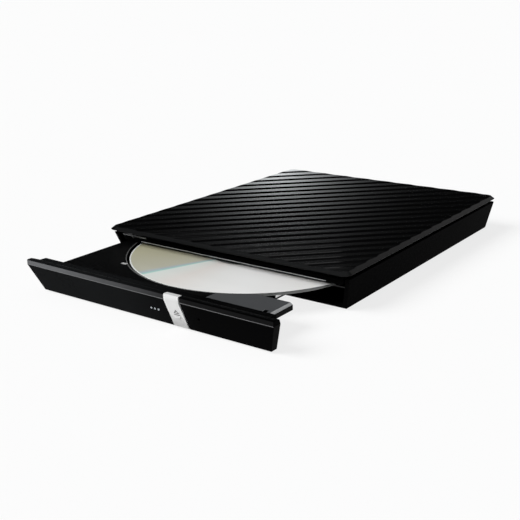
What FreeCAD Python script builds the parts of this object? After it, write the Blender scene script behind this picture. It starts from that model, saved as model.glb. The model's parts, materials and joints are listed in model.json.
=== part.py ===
import FreeCAD, Part
import math
import os

V = FreeCAD.Vector
SAME = 0.001

# A slim external disc drive with its tray part of the way out.
# X runs across the front, the tray slides out along -Y, Z is up.
# The origin is the middle of the flat underside of the case, and lengths are millimetres.
# The disc sets the slim drive's size, and the slim drive sets the case's.
# Pieces that ride on the tray are drawn with the tray shut, and then moved out together.

# Disc
DISC_RADIUS = 60.0
DISC_HOLE_RADIUS = 7.5
DISC_THICKNESS = 1.2
DISC_OFFSET = 1.5

# Slim drive, and its room round the disc
DRIVE_SIDE_ROOM = 4.0
DRIVE_FRONT_ROOM = 3.15
DRIVE_BACK_ROOM = 4.35
DRIVE_HEIGHT = 12.7
SHEET = 0.5
SEAT_PAD = 0.2
WING_WIDTH = 23.6
WING_RISE = 5.6
DISC_RISE = 7.8

# Case, and its room round the slim drive
CASE_SIDE_ROOM = 7.0
CASE_FRONT_ROOM = 14.75
CASE_BACK_ROOM = 27.25
CASE_TOP_ROOM = 3.6
LID_CORNER = 5.0
TUB_CORNER = 1.2
RIM_EDGE = 0.2
RIM_BEVEL = 2.1
RIM_BEVEL_HEIGHT = 1.5
SHADOW_GAP = 2.2
WALL = 2.0
FLOOR = 1.4
WALL_INSET = 0.95
SIDE_TAPER = 4.05
REAR_TAPER = 0.2
MOUTH_SETBACK = 4.1
FRONT_LEAN = 5.0

# Ripple on the lid: slanted ridges that run from the front left to the back right and close up forwards
RIPPLE_ANGLE = 45.0
RIPPLE_PITCH = 11.1
RIPPLE_EASE = 0.0077
RIPPLE_CREST = 0.9
RIPPLE_STEEP = 0.7
RIPPLE_DEPTH = 0.3

# Rib, skirt and hooks under the lid
RIB_INSET = 5.0
RIB = 1.4
RIB_DROP = 4.9
SKIRT_SETBACK = 6.3
SKIRT_CLEAR = 0.4
SKIRT_ROUND = 0.45
LEDGE_DROP = 3.1
LEDGE = 0.8
LEDGE_DEPTH = 7.9
SKIRT_MARK = 0.8
SKIRT_MARK_INSET = 11.5
HOOK_LENGTH = 8.0
HOOK_REACH = 0.9
HOOK = 1.0
HOOK_PLAY = 0.2
HOOK_SPREAD = 0.3
PRESS_PAD = 5.0

# Feet and case screws
FOOT_WIDTH = 12.0
FOOT_LENGTH = 7.0
FOOT_PROUD = 0.8
FOOT_RECESS = 0.5
FOOT_SIDE_INSET = 10.0
FOOT_END_INSET = 13.0
BOSS = 3.0
BOSS_SPLIT = 7.0
SCREW_RADIUS = 1.0
SCREW_HEAD_RADIUS = 1.9
SCREW_HEAD = 1.2
SCREW_BITE = 8.0
SCREW_CLEAR = 0.15
SCREW_SOCKET = 0.5

# Tray
TRAY_OUT = 51.0
TRAY_FRONT_GAP = 2.25
TRAY_BACK_GAP = 1.75
DECK_RISE = 0.6
DECK = 1.4
WELL_GAP = 1.2
WELL_WALL = 1.4
WELL_FLOOR = 1.2
DISC_FLOAT = 0.4
RIM_CHAMFER = 0.6
SHELF_REACH = 20.5
SHELF_DEPTH = 16.5
SHELF_DROP = 3.2
SHELF_BEVEL = 1.2
TRAY_SIDE_WALL = 2.4
TRAY_END_WALL = 1.5
TRAY_FLOAT = 0.9
COVER_SHEET = 0.4
CLIP_WIDTH = 3.4
CLIP_DEPTH = 1.6
CLIP_INSET = 0.5
CLIP_RISE = 0.15
CLIP_REACH = 39.0

# Rails
RAIL_SHORT = 22.5
RAIL_HEIGHT = 2.2
RAIL_RISE = 2.5
RAIL_WIDTH = 2.4
RAIL_PLAY = 0.1
GUIDE_SHORT = 49.5
GUIDE_HEIGHT = 5.4
GUIDE = 1.7
GUIDE_GROOVE = 1.0
GUIDE_START = 2.0

# Bezel
BEZEL_PROUD = 1.5
BEZEL_LEAN = 5.2
BEZEL_BAND = 2.5
BEZEL_EDGE = 0.3
BEZEL_DEPTH = 2.6
BEZEL_ASIDE = 0.45
BEZEL_NOTCH = 1.2
BEZEL_END_TAPER = 4.8
BEZEL_END_CUT = 1.3
BEZEL_WALL = 2.0
BEZEL_GAP = 0.4
BEZEL_TOP_GAP = 0.1
FLANGE_INSET = 4.7
FLANGE = 0.8
FLANGE_DROP = 0.4
WEB = 0.9
SHELF = 1.0
STUD = 0.8
STUD_RISE = 0.1
STUD_BACK = 2.5
TONGUE = 1.0
STIFFENER = 1.2
STIFFENERS = (-0.83, -0.3, 0.18, 0.41, 0.75)
LED_FIRST = 4.7
LED_STEP = 2.05
LED_COUNT = 3
LED_HEIGHT = 6.6
LED_RADIUS = 0.45
PINHOLE_X = 31.0
PINHOLE_HEIGHT = 7.0
PINHOLE_RADIUS = 0.6

# Eject button, its switch and the front board
BUTTON_WIDTH = 8.1
BUTTON_FOOT_X = 19.5
BUTTON_SLANT = 1.1
BUTTON_PROUD = 0.35
BUTTON_THICKNESS = 1.4
BUTTON_TRAVEL = 0.6
BUTTON_CLEAR = 0.25
BUTTON_FOOT = 0.2
LUG_REACH = 6.2
LUG = 0.8
LUG_HEIGHT = 3.8
STEM = 2.0
SWITCH_WIDTH = 4.8
SWITCH_HEIGHT = 2.2
SWITCH_BACK = 1.2
PLUNGER = 1.0
FRONT_BOARD_DROP = 2.0
THIN_BOARD = 0.8
LED_BODY = 1.4

# Turntable and spindle motor
TURNTABLE_RADIUS = 15.0
PAD_WIDTH = 3.0
PAD = 0.3
HUB_RADIUS = 7.35
HUB_RISE = 0.3
HUB_CROWN = 0.35
HUB_TAPER = 0.8
CLAW_WIDTH = 3.0
CLAW_LENGTH = 3.2
CLAW_HEIGHT = 1.1
CLAW_SLACK = 0.15
STATOR_RADIUS = 10.2
STATOR = 2.2
SHAFT_RADIUS = 0.75
SHAFT_PLAY = 0.05
ROTOR_GAP = 0.3

# Traverse mechanism
CHASSIS_FLOAT = 0.3
CHASSIS = 0.8
CHASSIS_BACK = 15.0
CHASSIS_RIM = 2.5
ROD_RISE = 2.1
MAIN_ROD_RADIUS = 1.25
SUB_ROD_RADIUS = 1.0
MAIN_ROD_OFFSET = 19.0
SUB_ROD_OFFSET = 17.0
SCREW_OFFSET = 25.5
FEED_RADIUS = 1.0
SEAT = 4.0
SEAT_LENGTH = 2.0
SEAT_TOP = 1.7
DAMPER_RADIUS = 2.8
DAMPER_SIDE = 32.0
DAMPER_FRONT = 40.0
DAMPER_BACK = 24.0
SLED_HOME = 24.0
SLED_HALF = 13.0
SLED_FRONT = 6.0
SLED_BACK = 13.0
SLED_PLAY = 0.3
ARM_LENGTH = 10.0
LENS_RADIUS = 1.7
LENS_HOLDER = 6.4
LENS_POCKET = 7.2
LENS_THICKNESS = 1.25
LENS_RISE = 0.65
MOTOR_WIDTH = 6.4
MOTOR_LENGTH = 10.0
FEED_SHORT = 8.0

# Latch
LATCH_INSET = 4.8
LATCH_BACK = 22.25
LATCH_ARM = 8.5
LATCH_TAIL = 7.2
LATCH_HUB = 1.75
LATCH_PIN = 0.45
LATCH_LIFT = 2.1
PIVOT_RADIUS = 0.9
POST_RADIUS = 0.9
POST_ASIDE = 2.0
POST_AHEAD = 9.2
POST_RISE = 2.9
SOLENOID_WIDTH = 5.6
SOLENOID_LENGTH = 10.0
SOLENOID_BACK = 4.0
SOLENOID_ROD = 0.85

# Sockets and boards at the back of the case
SOCKET_X = -38.0
SOCKET_WIDTH = 7.7
SOCKET_HEIGHT = 3.9
SOCKET_DEPTH = 9.2
SOCKET_SKIN = 0.35
SOCKET_SETBACK = 0.8
BOARD = 1.6
BOARD_RISE = 6.5
BOARD_GAP = 3.5
BOARD_DEPTH = 19.5
BOARD_MARGIN = 14.0
CONNECTOR_WIDTH = 20.0
CONNECTOR_HEIGHT = 4.2
CONNECTOR_DEPTH = 6.5

# Worked out from the sizes above
DRIVE_HALF = DISC_RADIUS + DRIVE_SIDE_ROOM
DRIVE_DEPTH = 2 * DISC_RADIUS + DRIVE_FRONT_ROOM + DRIVE_BACK_ROOM
HALF = DRIVE_HALF + CASE_SIDE_ROOM
CASE_DEPTH = CASE_FRONT_ROOM + DRIVE_DEPTH + CASE_BACK_ROOM
FRONT = -CASE_DEPTH / 2
BACK = CASE_DEPTH / 2
DRIVE_Y = FRONT + CASE_FRONT_ROOM
DRIVE_BACK = DRIVE_Y + DRIVE_DEPTH
DRIVE_BOTTOM = FLOOR + SEAT_PAD
DRIVE_TOP = DRIVE_BOTTOM + DRIVE_HEIGHT
PAN_FLOOR = DRIVE_BOTTOM + SHEET
STEP_X = DRIVE_HALF - WING_WIDTH
WING_BOTTOM = DRIVE_BOTTOM + WING_RISE
WING_FLOOR = WING_BOTTOM + SHEET
LID_UNDER = DRIVE_TOP + CASE_TOP_ROOM
CASE_HEIGHT = LID_UNDER + RIM_EDGE + RIM_BEVEL_HEIGHT
WALL_TOP = LID_UNDER - SHADOW_GAP
TOP_HALF = HALF - WALL_INSET
BOTTOM_HALF = TOP_HALF - SIDE_TAPER
BACK_TOP = BACK - WALL_INSET
BACK_BOTTOM = BACK_TOP - REAR_TAPER
DISC_X = DISC_OFFSET
DISC_Y = DRIVE_Y + DRIVE_FRONT_ROOM + DISC_RADIUS
DISC_BOTTOM = DRIVE_BOTTOM + DISC_RISE
DISC_TOP = DISC_BOTTOM + DISC_THICKNESS
DECK_TOP = DISC_TOP + DECK_RISE
DECK_UNDER = DECK_TOP - DECK
WELL_TOP = DISC_BOTTOM - DISC_FLOAT
WELL_UNDER = WELL_TOP - WELL_FLOOR
WELL_RADIUS = DISC_RADIUS + WELL_GAP
SKIRT_Y = FRONT + SKIRT_SETBACK
SKIRT_BOTTOM = DECK_TOP + SKIRT_CLEAR
LEDGE_TOP = LID_UNDER - LEDGE_DROP
RIB_OUT = HALF - RIB_INSET
RIB_BOTTOM = LID_UNDER - RIB_DROP
TRAY_Y = DRIVE_Y - TRAY_FRONT_GAP
TRAY_BACK = DRIVE_BACK - TRAY_BACK_GAP
TRAY_WALL_BOTTOM = PAN_FLOOR + TRAY_FLOAT
LEFT_WALL = -DRIVE_HALF + SHEET
RIGHT_WALL = STEP_X - SHEET
TRAY_LEFT = LEFT_WALL + GUIDE + 2 * RAIL_PLAY
TRAY_RIGHT = RIGHT_WALL - GUIDE - 2 * RAIL_PLAY
DECK_LEFT = RAIL_PLAY - DRIVE_HALF
SHELF_RIGHT = TRAY_RIGHT + SHELF_REACH
SHELF_BACK = TRAY_Y + SHELF_DEPTH
RAIL_BOTTOM = PAN_FLOOR + RAIL_RISE
RAIL_TRACK = (RAIL_BOTTOM - RAIL_PLAY, RAIL_BOTTOM + RAIL_HEIGHT + RAIL_PLAY)
BEZEL_TOP = WALL_TOP - BEZEL_TOP_GAP
BAND_LOW = BEZEL_TOP - BEZEL_BAND
BEZEL_Y = FRONT - BEZEL_PROUD
BUTTON_BACK = BEZEL_Y + BEZEL_DEPTH - BEZEL_EDGE
FLANGE_TOP = BEZEL_TOP - FLANGE_DROP
FLANGE_BACK = SKIRT_Y - BEZEL_GAP
FLANGE_HALF = HALF - FLANGE_INSET
STUD_Y = TRAY_Y + STUD_BACK
STUDS = (DECK_LEFT + 18.9, TRAY_RIGHT - 15.0, SHELF_RIGHT - 4.0)
LED_STEPS = [LED_FIRST + LED_STEP * i for i in range(LED_COUNT)]
CHASSIS_BOTTOM = TRAY_WALL_BOTTOM + CHASSIS_FLOAT
CHASSIS_TOP = CHASSIS_BOTTOM + CHASSIS
ROD_HEIGHT = CHASSIS_BOTTOM + ROD_RISE
ROD_SPAN = (TRAY_Y + TRAY_END_WALL + 0.8, DISC_Y - 3)
FEED_SPAN = (ROD_SPAN[0] + 3.2, DISC_Y - FEED_SHORT)
LENS_Y = DISC_Y - SLED_HOME
SLED_TOP = WELL_UNDER - COVER_SHEET - 0.2
LATCH_X = TRAY_RIGHT - LATCH_INSET
LATCH_Y = TRAY_Y + LATCH_BACK
POST_X = LATCH_X - POST_ASIDE
SOLENOID_Y = LATCH_Y + SOLENOID_BACK
BOARD_TOP = BOARD_RISE + BOARD
BOARD_Y = DRIVE_BACK + BOARD_GAP
FRONT_BOARD_TOP = LED_HEIGHT - FRONT_BOARD_DROP + THIN_BOARD
HOOK_STEPS = [CASE_DEPTH * HOOK_SPREAD * i for i in (-1, 0, 1)]
FOOT_X = BOTTOM_HALF - FOOT_SIDE_INSET
SCREWS = [(side * FOOT_X, BACK - FOOT_END_INSET) for side in (-1, 1)]
REAR_FEET = [(x, y - BOSS - FOOT_LENGTH) for x, y in SCREWS]
FRONT_FEET = [(x, FRONT + FOOT_END_INSET + FRONT_LEAN) for x, y in SCREWS]
DAMPERS = [(DISC_X - DAMPER_SIDE, DISC_Y - DAMPER_FRONT), (DISC_X - MAIN_ROD_OFFSET, DISC_Y + DAMPER_BACK),
           (DISC_X + SUB_ROD_OFFSET, DISC_Y + DAMPER_BACK)]


def box(x, y, z):
    return Part.makeBox(x[1] - x[0], y[1] - y[0], z[1] - z[0], V(x[0], y[0], z[0]))


def block(x, y, z, width, depth):
    return box((x - width / 2, x + width / 2), (y - depth / 2, y + depth / 2), z)


def post(x, y, z, radius):
    return Part.makeCylinder(radius, z[1] - z[0], V(x, y, z[0]))


def bar(x, y, z, radius):
    return Part.makeCylinder(radius, y[1] - y[0], V(x, y[0], z), V(0, 1, 0))


def ring(x, y, z, outer, inner):
    return post(x, y, z, outer).cut(post(x, y, z, inner))


def place(axis, low, a, b):
    if axis == "x":
        return V(low, a, b)
    if axis == "y":
        return V(a, low, b)
    return V(a, b, low)


def prism(points, axis, span):
    corners = [place(axis, span[0], a, b) for a, b in points]
    face = Part.Face(Part.makePolygon(corners + corners[:1]))
    return face.extrude(place(axis, span[1] - span[0], 0, 0))


def outline(x, y, z, radius):
    (x0, x1), (y0, y1) = x, y
    r = radius
    s = radius * (1 - math.sqrt(0.5))
    path = [(x0 + r, y0), (x1 - r, y0), (x1 - s, y0 + s), (x1, y0 + r), (x1, y1 - r), (x1 - s, y1 - s),
            (x1 - r, y1), (x0 + r, y1), (x0 + s, y1 - s), (x0, y1 - r), (x0, y0 + r), (x0 + s, y0 + s)]
    p = [V(a, b, z) for a, b in path]
    edges = []
    for i in range(0, 12, 3):
        edges.append(Part.makeLine(p[i], p[i + 1]))
        edges.append(Part.Arc(p[i + 1], p[i + 2], p[(i + 3) % 12]).toShape())
    return Part.Wire(edges)


def between(lower, upper):
    return Part.makeLoft([lower, upper], True, True)


def plate(x, y, z, radius):
    return Part.Face(outline(x, y, z[0], radius)).extrude(V(0, 0, z[1] - z[0]))


def fused(shapes):
    return shapes[0].fuse(shapes[1:]).removeSplitter()


def case_half(z):
    return BOTTOM_HALF + SIDE_TAPER * z / WALL_TOP


def mouth_y(z):
    return FRONT + MOUTH_SETBACK + FRONT_LEAN * (1 - z / WALL_TOP)


def bezel_face_y(z):
    return BEZEL_Y + BEZEL_LEAN * (1 - z / BAND_LOW)


# Lid

def ripple_at(i, reach):
    return reach - RIPPLE_PITCH * i * (1 - RIPPLE_EASE * i)


def lid_ripples():
    reach = (HALF + BACK) * math.sqrt(0.5)
    span = (-2 * reach, 2 * reach)
    top = CASE_HEIGHT
    grooves = []
    i = 0
    while ripple_at(i, reach) > -reach:
        back = ripple_at(i, reach) - RIPPLE_CREST / 2
        front = ripple_at(i + 1, reach) + RIPPLE_CREST / 2
        low = front + (back - front) * RIPPLE_STEEP
        section = [(back, top), (low, top - RIPPLE_DEPTH), (front, top)]
        section += [(front, top + WALL), (back, top + WALL)]
        groove = prism(section, "x", span)
        groove.rotate(V(0, 0, 0), V(0, 0, 1), RIPPLE_ANGLE)
        grooves.append(groove)
        i += 1
    return grooves


def lid_plate():
    x, y = (-HALF, HALF), (FRONT, BACK)
    edge_top = LID_UNDER + RIM_EDGE
    rim = plate(x, y, (LID_UNDER, edge_top), LID_CORNER)
    crease = outline((x[0] + RIM_BEVEL, x[1] - RIM_BEVEL), (y[0] + RIM_BEVEL, y[1] - RIM_BEVEL), CASE_HEIGHT,
                     LID_CORNER - RIM_BEVEL)
    bevel = between(outline(x, y, edge_top, LID_CORNER), crease)
    return rim.fuse(bevel).cut(lid_ripples()).removeSplitter()


def lid_rib():
    z = (RIB_BOTTOM, LID_UNDER)
    back = BACK - RIB_INSET
    front = SKIRT_Y + LEDGE_DEPTH - RIB
    outer = box((-RIB_OUT, RIB_OUT), (front, back), z)
    inner = box((-RIB_OUT + RIB, RIB_OUT - RIB), (front + RIB, back - RIB), z)
    mouth = box((-RIB_OUT, RIB_OUT), (front, front + RIB), (RIB_BOTTOM, LEDGE_TOP - LEDGE))
    return outer.cut([inner, mouth])


def lies_at(edge, y, z):
    b = edge.BoundBox
    return max(abs(b.ZMax - z), abs(b.ZMin - z), abs(b.YMax - y), abs(b.YMin - y)) < 0.01


def lid_skirt():
    ledge = box((-RIB_OUT, RIB_OUT), (SKIRT_Y, SKIRT_Y + LEDGE_DEPTH), (LEDGE_TOP - LEDGE, LEDGE_TOP))
    low = SKIRT_BOTTOM
    face = [(-RIB_OUT, LEDGE_TOP), (-RIB_OUT, low + RIB), (-RIB_OUT + RIB, low), (RIB_OUT - RIB, low),
            (RIB_OUT, low + RIB), (RIB_OUT, LEDGE_TOP)]
    body = ledge.fuse(prism(face, "y", (SKIRT_Y, SKIRT_Y + RIB))).removeSplitter()
    rounded = [e for e in body.Edges if lies_at(e, SKIRT_Y, low) or lies_at(e, SKIRT_Y, LEDGE_TOP)]
    body = body.makeFillet(SKIRT_ROUND, rounded)
    x = -HALF + SKIRT_MARK_INSET
    mark = box((x, x + SKIRT_MARK), (SKIRT_Y - RIB, SKIRT_Y + RIB / 2), (LEDGE_TOP - RIB, LEDGE_TOP + RIB))
    return body.cut(mark)


def lid_hooks():
    z = (RIB_BOTTOM + HOOK_PLAY, RIB_BOTTOM + HOOK_PLAY + HOOK)
    reach = RIB / 2 + HOOK_REACH
    x = RIB_OUT - RIB / 2 + reach / 2
    return [block(side * x, y, z, reach, HOOK_LENGTH) for side in (-1, 1) for y in HOOK_STEPS]


def lid_press_pads():
    x = DRIVE_HALF - 2 * PRESS_PAD
    ends = (DRIVE_Y + 2 * PRESS_PAD, DRIVE_BACK - 2 * PRESS_PAD)
    return [block(side * x, y, (DRIVE_TOP, LID_UNDER), PRESS_PAD, RIB) for side in (-1, 1) for y in ends]


def top_cover():
    bosses = [block(x, y, (BOSS_SPLIT, LID_UNDER), 2 * BOSS, 2 * BOSS) for x, y in SCREWS]
    pilots = [post(x, y, (BOSS_SPLIT - 1, BOSS_SPLIT + SCREW_BITE + 1), SCREW_RADIUS) for x, y in SCREWS]
    pieces = [lid_plate(), lid_rib(), lid_skirt()] + lid_hooks() + lid_press_pads() + bosses
    return fused(pieces).cut(pilots)


# Lower case

def tub_side(z, wall):
    half = case_half(z) - wall
    back = BACK_BOTTOM + REAR_TAPER * z / WALL_TOP - wall
    return outline((-half, half), (FRONT - WALL, back), z, TUB_CORNER - wall / 4)


def tub_shell():
    outer = between(tub_side(0, 0), tub_side(WALL_TOP, 0))
    inner = between(tub_side(FLOOR, WALL), tub_side(WALL_TOP + WALL, WALL))
    far = FRONT - 2 * WALL
    ahead = [(far, -WALL), (mouth_y(-WALL), -WALL), (mouth_y(WALL_TOP + WALL), WALL_TOP + WALL),
             (far, WALL_TOP + WALL)]
    return outer.cut(inner).cut(prism(ahead, "x", (-CASE_DEPTH, CASE_DEPTH)))


def tub_catches():
    low = RIB_BOTTOM + HOOK_PLAY + HOOK
    outer = case_half(RIB_BOTTOM) - WALL / 2
    near, under = RIB_OUT + HOOK_PLAY, RIB_OUT - RIB
    catches = []
    for side in (-1, 1):
        for y in HOOK_STEPS:
            hold = (low + HOOK_PLAY, low + HOOK_PLAY + HOOK)
            catches.append(block(side * (outer + near) / 2, y, hold, outer - near, HOOK_LENGTH + FLOOR))
            rest = (RIB_BOTTOM - HOOK, RIB_BOTTOM)
            catches.append(block(side * (outer + under) / 2, y + HOOK_LENGTH + WALL, rest, outer - under,
                                 HOOK_LENGTH / 2))
    return catches


def tub_pads():
    xs = (-DRIVE_HALF + HOOK_LENGTH, STEP_X - HOOK_LENGTH)
    ys = (DRIVE_Y + HOOK_LENGTH, DRIVE_BACK - HOOK_LENGTH)
    return [block(x, y, (FLOOR / 2, DRIVE_BOTTOM), HOOK_LENGTH, HOOK_LENGTH) for x in xs for y in ys]


def board_rests():
    x = (SOCKET_X - BOARD_MARGIN + WALL, 0, DRIVE_HALF - 2 * BOARD_MARGIN)
    y = (BOARD_Y + WALL, BOARD_Y + BOARD_DEPTH - WALL)
    return [block(a, b, (FLOOR / 2, BOARD_RISE), WALL, WALL) for a in x for b in y]


def bottom_case():
    bosses = [block(x, y, (FLOOR / 2, BOSS_SPLIT), 2 * BOSS, 2 * BOSS) for x, y in SCREWS]
    body = fused([tub_shell()] + tub_catches() + tub_pads() + board_rests() + bosses)
    cuts = [block(x, y, (-1, FOOT_RECESS), FOOT_WIDTH, FOOT_LENGTH) for x, y in FRONT_FEET + REAR_FEET]
    for x, y in SCREWS:
        cuts.append(post(x, y, (FLOOR / 2, BOSS_SPLIT + 1), SCREW_RADIUS + SCREW_CLEAR))
        cuts.append(post(x, y, (-1, BOSS_SPLIT - SCREW_HEAD), SCREW_HEAD_RADIUS + SCREW_CLEAR))
    middle = BOARD_TOP + SOCKET_HEIGHT / 2
    tall = SOCKET_HEIGHT / 2 + SOCKET_SKIN
    z = (middle - tall, middle + tall)
    cuts.append(block(SOCKET_X, BACK, z, SOCKET_WIDTH + 2 * SOCKET_SKIN, 4 * WALL))
    return body.cut(cuts)


def rubber_feet():
    z = (-FOOT_PROUD, FOOT_RECESS)
    return [block(x, y, z, FOOT_WIDTH, FOOT_LENGTH) for x, y in FRONT_FEET + REAR_FEET]


def case_screws():
    seat = BOSS_SPLIT - SCREW_HEAD
    screws = []
    for x, y in SCREWS:
        head = post(x, y, (seat - SCREW_HEAD, seat), SCREW_HEAD_RADIUS)
        shank = post(x, y, (seat, BOSS_SPLIT + SCREW_BITE), SCREW_RADIUS)
        z = (seat - SCREW_HEAD - 1, seat - SCREW_HEAD / 2)
        socket = block(x, y, z, 2 * SCREW_SOCKET, 2 * SCREW_SOCKET)
        screws.append(fused([head, shank]).cut(socket))
    return screws


# Boards and sockets at the back of the case

def bridge_board():
    z = (BOARD_RISE, BOARD_TOP)
    board = box((SOCKET_X - BOARD_MARGIN, DRIVE_HALF - 1), (BOARD_Y, BOARD_Y + BOARD_DEPTH), z)
    x, y = SCREWS[-1]
    notch = box((x - BOSS - WALL / 4, DRIVE_HALF), (y - BOSS - WALL / 4, BACK), z)
    return board.cut(notch)


def bridge_parts():
    y = BOARD_Y + CONNECTOR_DEPTH
    chip = block(-HOOK_LENGTH, y, (BOARD_TOP, BOARD_TOP + SCREW_HEAD), BOSS * 3, BOSS * 3)
    flash = block(HOOK_LENGTH, y, (BOARD_TOP, BOARD_TOP + SCREW_HEAD), BOSS * 2, BOSS)
    crystal = block(SOCKET_X / 2, y, (BOARD_TOP, BOARD_TOP + 2 * SCREW_HEAD), HOOK_LENGTH, BOSS)
    can = post(-SOCKET_X / 2, y, (BOARD_TOP, BOARD_TOP + BOSS), BOSS - 1)
    return [chip, flash, crystal, can]


def connector_middle():
    return DRIVE_HALF - WALL - CONNECTOR_WIDTH / 2


def bridge_connector():
    y0 = DRIVE_BACK + THIN_BOARD
    y = y0 + CONNECTOR_DEPTH / 2
    z = (BOARD_TOP, BOARD_TOP + CONNECTOR_HEIGHT)
    body = block(connector_middle(), y, z, CONNECTOR_WIDTH, CONNECTOR_DEPTH)
    mouth = block(connector_middle(), y0, (BOARD_TOP + FLOOR, BOARD_TOP + 2 * FLOOR), CONNECTOR_WIDTH - WALL,
                  2 * CONNECTOR_DEPTH - 2 * WALL)
    return body.cut(mouth)


def drive_connector():
    z = (BOARD_TOP + FLOOR + RAIL_PLAY, BOARD_TOP + 2 * FLOOR - RAIL_PLAY)
    x, half = connector_middle(), CONNECTOR_WIDTH / 2 - WALL
    tongue = box((x - half, x + half), (DRIVE_BACK - 2 * WALL, DRIVE_BACK + CONNECTOR_DEPTH - BOARD_GAP), z)
    y, z = DRIVE_BACK - CONNECTOR_DEPTH / 2 - SHEET, (WING_FLOOR + THIN_BOARD, z[1] + THIN_BOARD)
    body = block(x, y, z, CONNECTOR_WIDTH - WALL / 2, CONNECTOR_DEPTH - 1)
    return fused([tongue, body])


def usb_profile(inset):
    half, low, high = SOCKET_WIDTH / 2 - inset, BOARD_TOP + inset, BOARD_TOP + SOCKET_HEIGHT - inset
    slope = SOCKET_HEIGHT / 3
    return [(SOCKET_X - half, high), (SOCKET_X + half, high), (SOCKET_X + half, low + slope),
            (SOCKET_X + half - slope, low), (SOCKET_X - half + slope, low), (SOCKET_X - half, low + slope)]


def usb_socket():
    back = BACK_TOP - SOCKET_SETBACK
    shell = prism(usb_profile(0), "y", (back - SOCKET_DEPTH, back))
    hollow = prism(usb_profile(SOCKET_SKIN), "y", (back - SOCKET_DEPTH + SCREW_HEAD, back + 1))
    tongue = block(SOCKET_X, back - SOCKET_DEPTH / 2, (BOARD_TOP + FLOOR, BOARD_TOP + WALL),
                   SOCKET_WIDTH - BOSS, SOCKET_DEPTH - WALL)
    return fused([shell.cut(hollow), tongue])


# Slim drive: pan, cover, guides and board

def drive_chassis():
    left, right, z0 = -DRIVE_HALF, DRIVE_HALF, DRIVE_BOTTOM
    cover_under, left_top = DRIVE_TOP - SHEET, DECK_UNDER - SHEET
    outer = [(left, z0), (STEP_X, z0), (STEP_X, WING_BOTTOM), (right, WING_BOTTOM), (right, cover_under)]
    inner = [(right - SHEET, cover_under), (right - SHEET, WING_FLOOR), (STEP_X - SHEET, WING_FLOOR),
             (STEP_X - SHEET, PAN_FLOOR), (left + SHEET, PAN_FLOOR), (left + SHEET, left_top),
             (left, left_top)]
    pan = prism(outer + inner, "y", (DRIVE_Y, DRIVE_BACK))
    rear = prism(outer + [(left, cover_under)], "y", (DRIVE_BACK - SHEET, DRIVE_BACK))
    latch_post = post(POST_X, LATCH_Y - POST_AHEAD, (DRIVE_BOTTOM, PAN_FLOOR + POST_RISE), POST_RADIUS)
    opening = (WING_FLOOR, BOARD_TOP + CONNECTOR_HEIGHT)
    window = block(connector_middle(), DRIVE_BACK, opening, CONNECTOR_WIDTH, 2 * SHEET)
    return fused([pan, rear, latch_post]).cut(window)


def drive_cover():
    near = DRIVE_HALF + SHAFT_PLAY
    far = near + SHEET - SHAFT_PLAY
    y = (DRIVE_Y, DRIVE_BACK + SHEET)
    rear = DRIVE_BACK + SHAFT_PLAY
    low_left, low_right = DECK_UNDER - THIN_BOARD, WING_BOTTOM + 1
    top = box((-far, far), y, (DRIVE_TOP - SHEET, DRIVE_TOP))
    left = box((-far, -near), (DRIVE_Y + BOSS, y[1]), (low_left, DRIVE_TOP))
    right = box((near, far), (DRIVE_Y + BOSS, y[1]), (low_right, DRIVE_TOP))
    back = box((-far, DRIVE_HALF - CONNECTOR_WIDTH - 2 * WALL), (rear, y[1]), (low_left, DRIVE_TOP))
    swage = box((-DRIVE_HALF / 2, DRIVE_HALF / 2), (DRIVE_Y + DRIVE_DEPTH / 4, DRIVE_BACK - DRIVE_DEPTH / 4),
                (DRIVE_TOP - SHEET / 2, DRIVE_TOP + SHEET))
    return fused([top, left, right, back, swage])


def rail_guide(wall, inward):
    y = (DRIVE_Y + GUIDE_START, DRIVE_BACK - GUIDE_SHORT + GUIDE_START)
    body = box(sorted((wall, wall + inward * GUIDE)), y, (PAN_FLOOR, PAN_FLOOR + GUIDE_HEIGHT))
    inner = wall + inward * (GUIDE - GUIDE_GROOVE)
    return body.cut(box(sorted((inner, inner + inward * GUIDE)), y, RAIL_TRACK))


def slide_rail(wall, inward):
    near = wall + inward * (GUIDE - GUIDE_GROOVE + RAIL_PLAY)
    y = (DRIVE_Y + 2 * GUIDE_START, DRIVE_BACK - RAIL_SHORT + 2 * GUIDE_START)
    body = box(sorted((near, near + inward * RAIL_WIDTH)), y, (RAIL_BOTTOM, RAIL_BOTTOM + RAIL_HEIGHT))
    body.translate(V(0, -TRAY_OUT / 2, 0))
    return body


def board_edge():
    return (STEP_X + 1, DRIVE_HALF - 2 * SHEET)


def main_board():
    y = (SHELF_BACK + SHELF_DEPTH, DRIVE_BACK - SHEET - 1)
    return box(board_edge(), y, (WING_FLOOR, WING_FLOOR + THIN_BOARD))


def main_board_chips():
    z = (WING_FLOOR + THIN_BOARD, WING_FLOOR + THIN_BOARD + DECK_RISE)
    x = sum(board_edge()) / 2
    return [block(x, k * WING_WIDTH, z, s, s) for k, s in ((-1, 2 * BOSS), (0, 4 * BOSS), (1, 3 * BOSS))]


# Tray

def tray_plan():
    return [(DECK_LEFT, TRAY_Y), (SHELF_RIGHT, TRAY_Y), (SHELF_RIGHT, SHELF_BACK), (TRAY_RIGHT, SHELF_BACK),
            (TRAY_RIGHT, TRAY_BACK), (DECK_LEFT, TRAY_BACK)]


def shelf_lip():
    low, t = DECK_TOP - SHELF_DROP, SHELF_BEVEL
    lip = box((TRAY_RIGHT - t, SHELF_RIGHT), (TRAY_Y, SHELF_BACK), (low, DECK_TOP))
    return lip.cut(box((TRAY_RIGHT, SHELF_RIGHT - t), (TRAY_Y + t, SHELF_BACK - t), (low, DECK_UNDER)))


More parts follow.
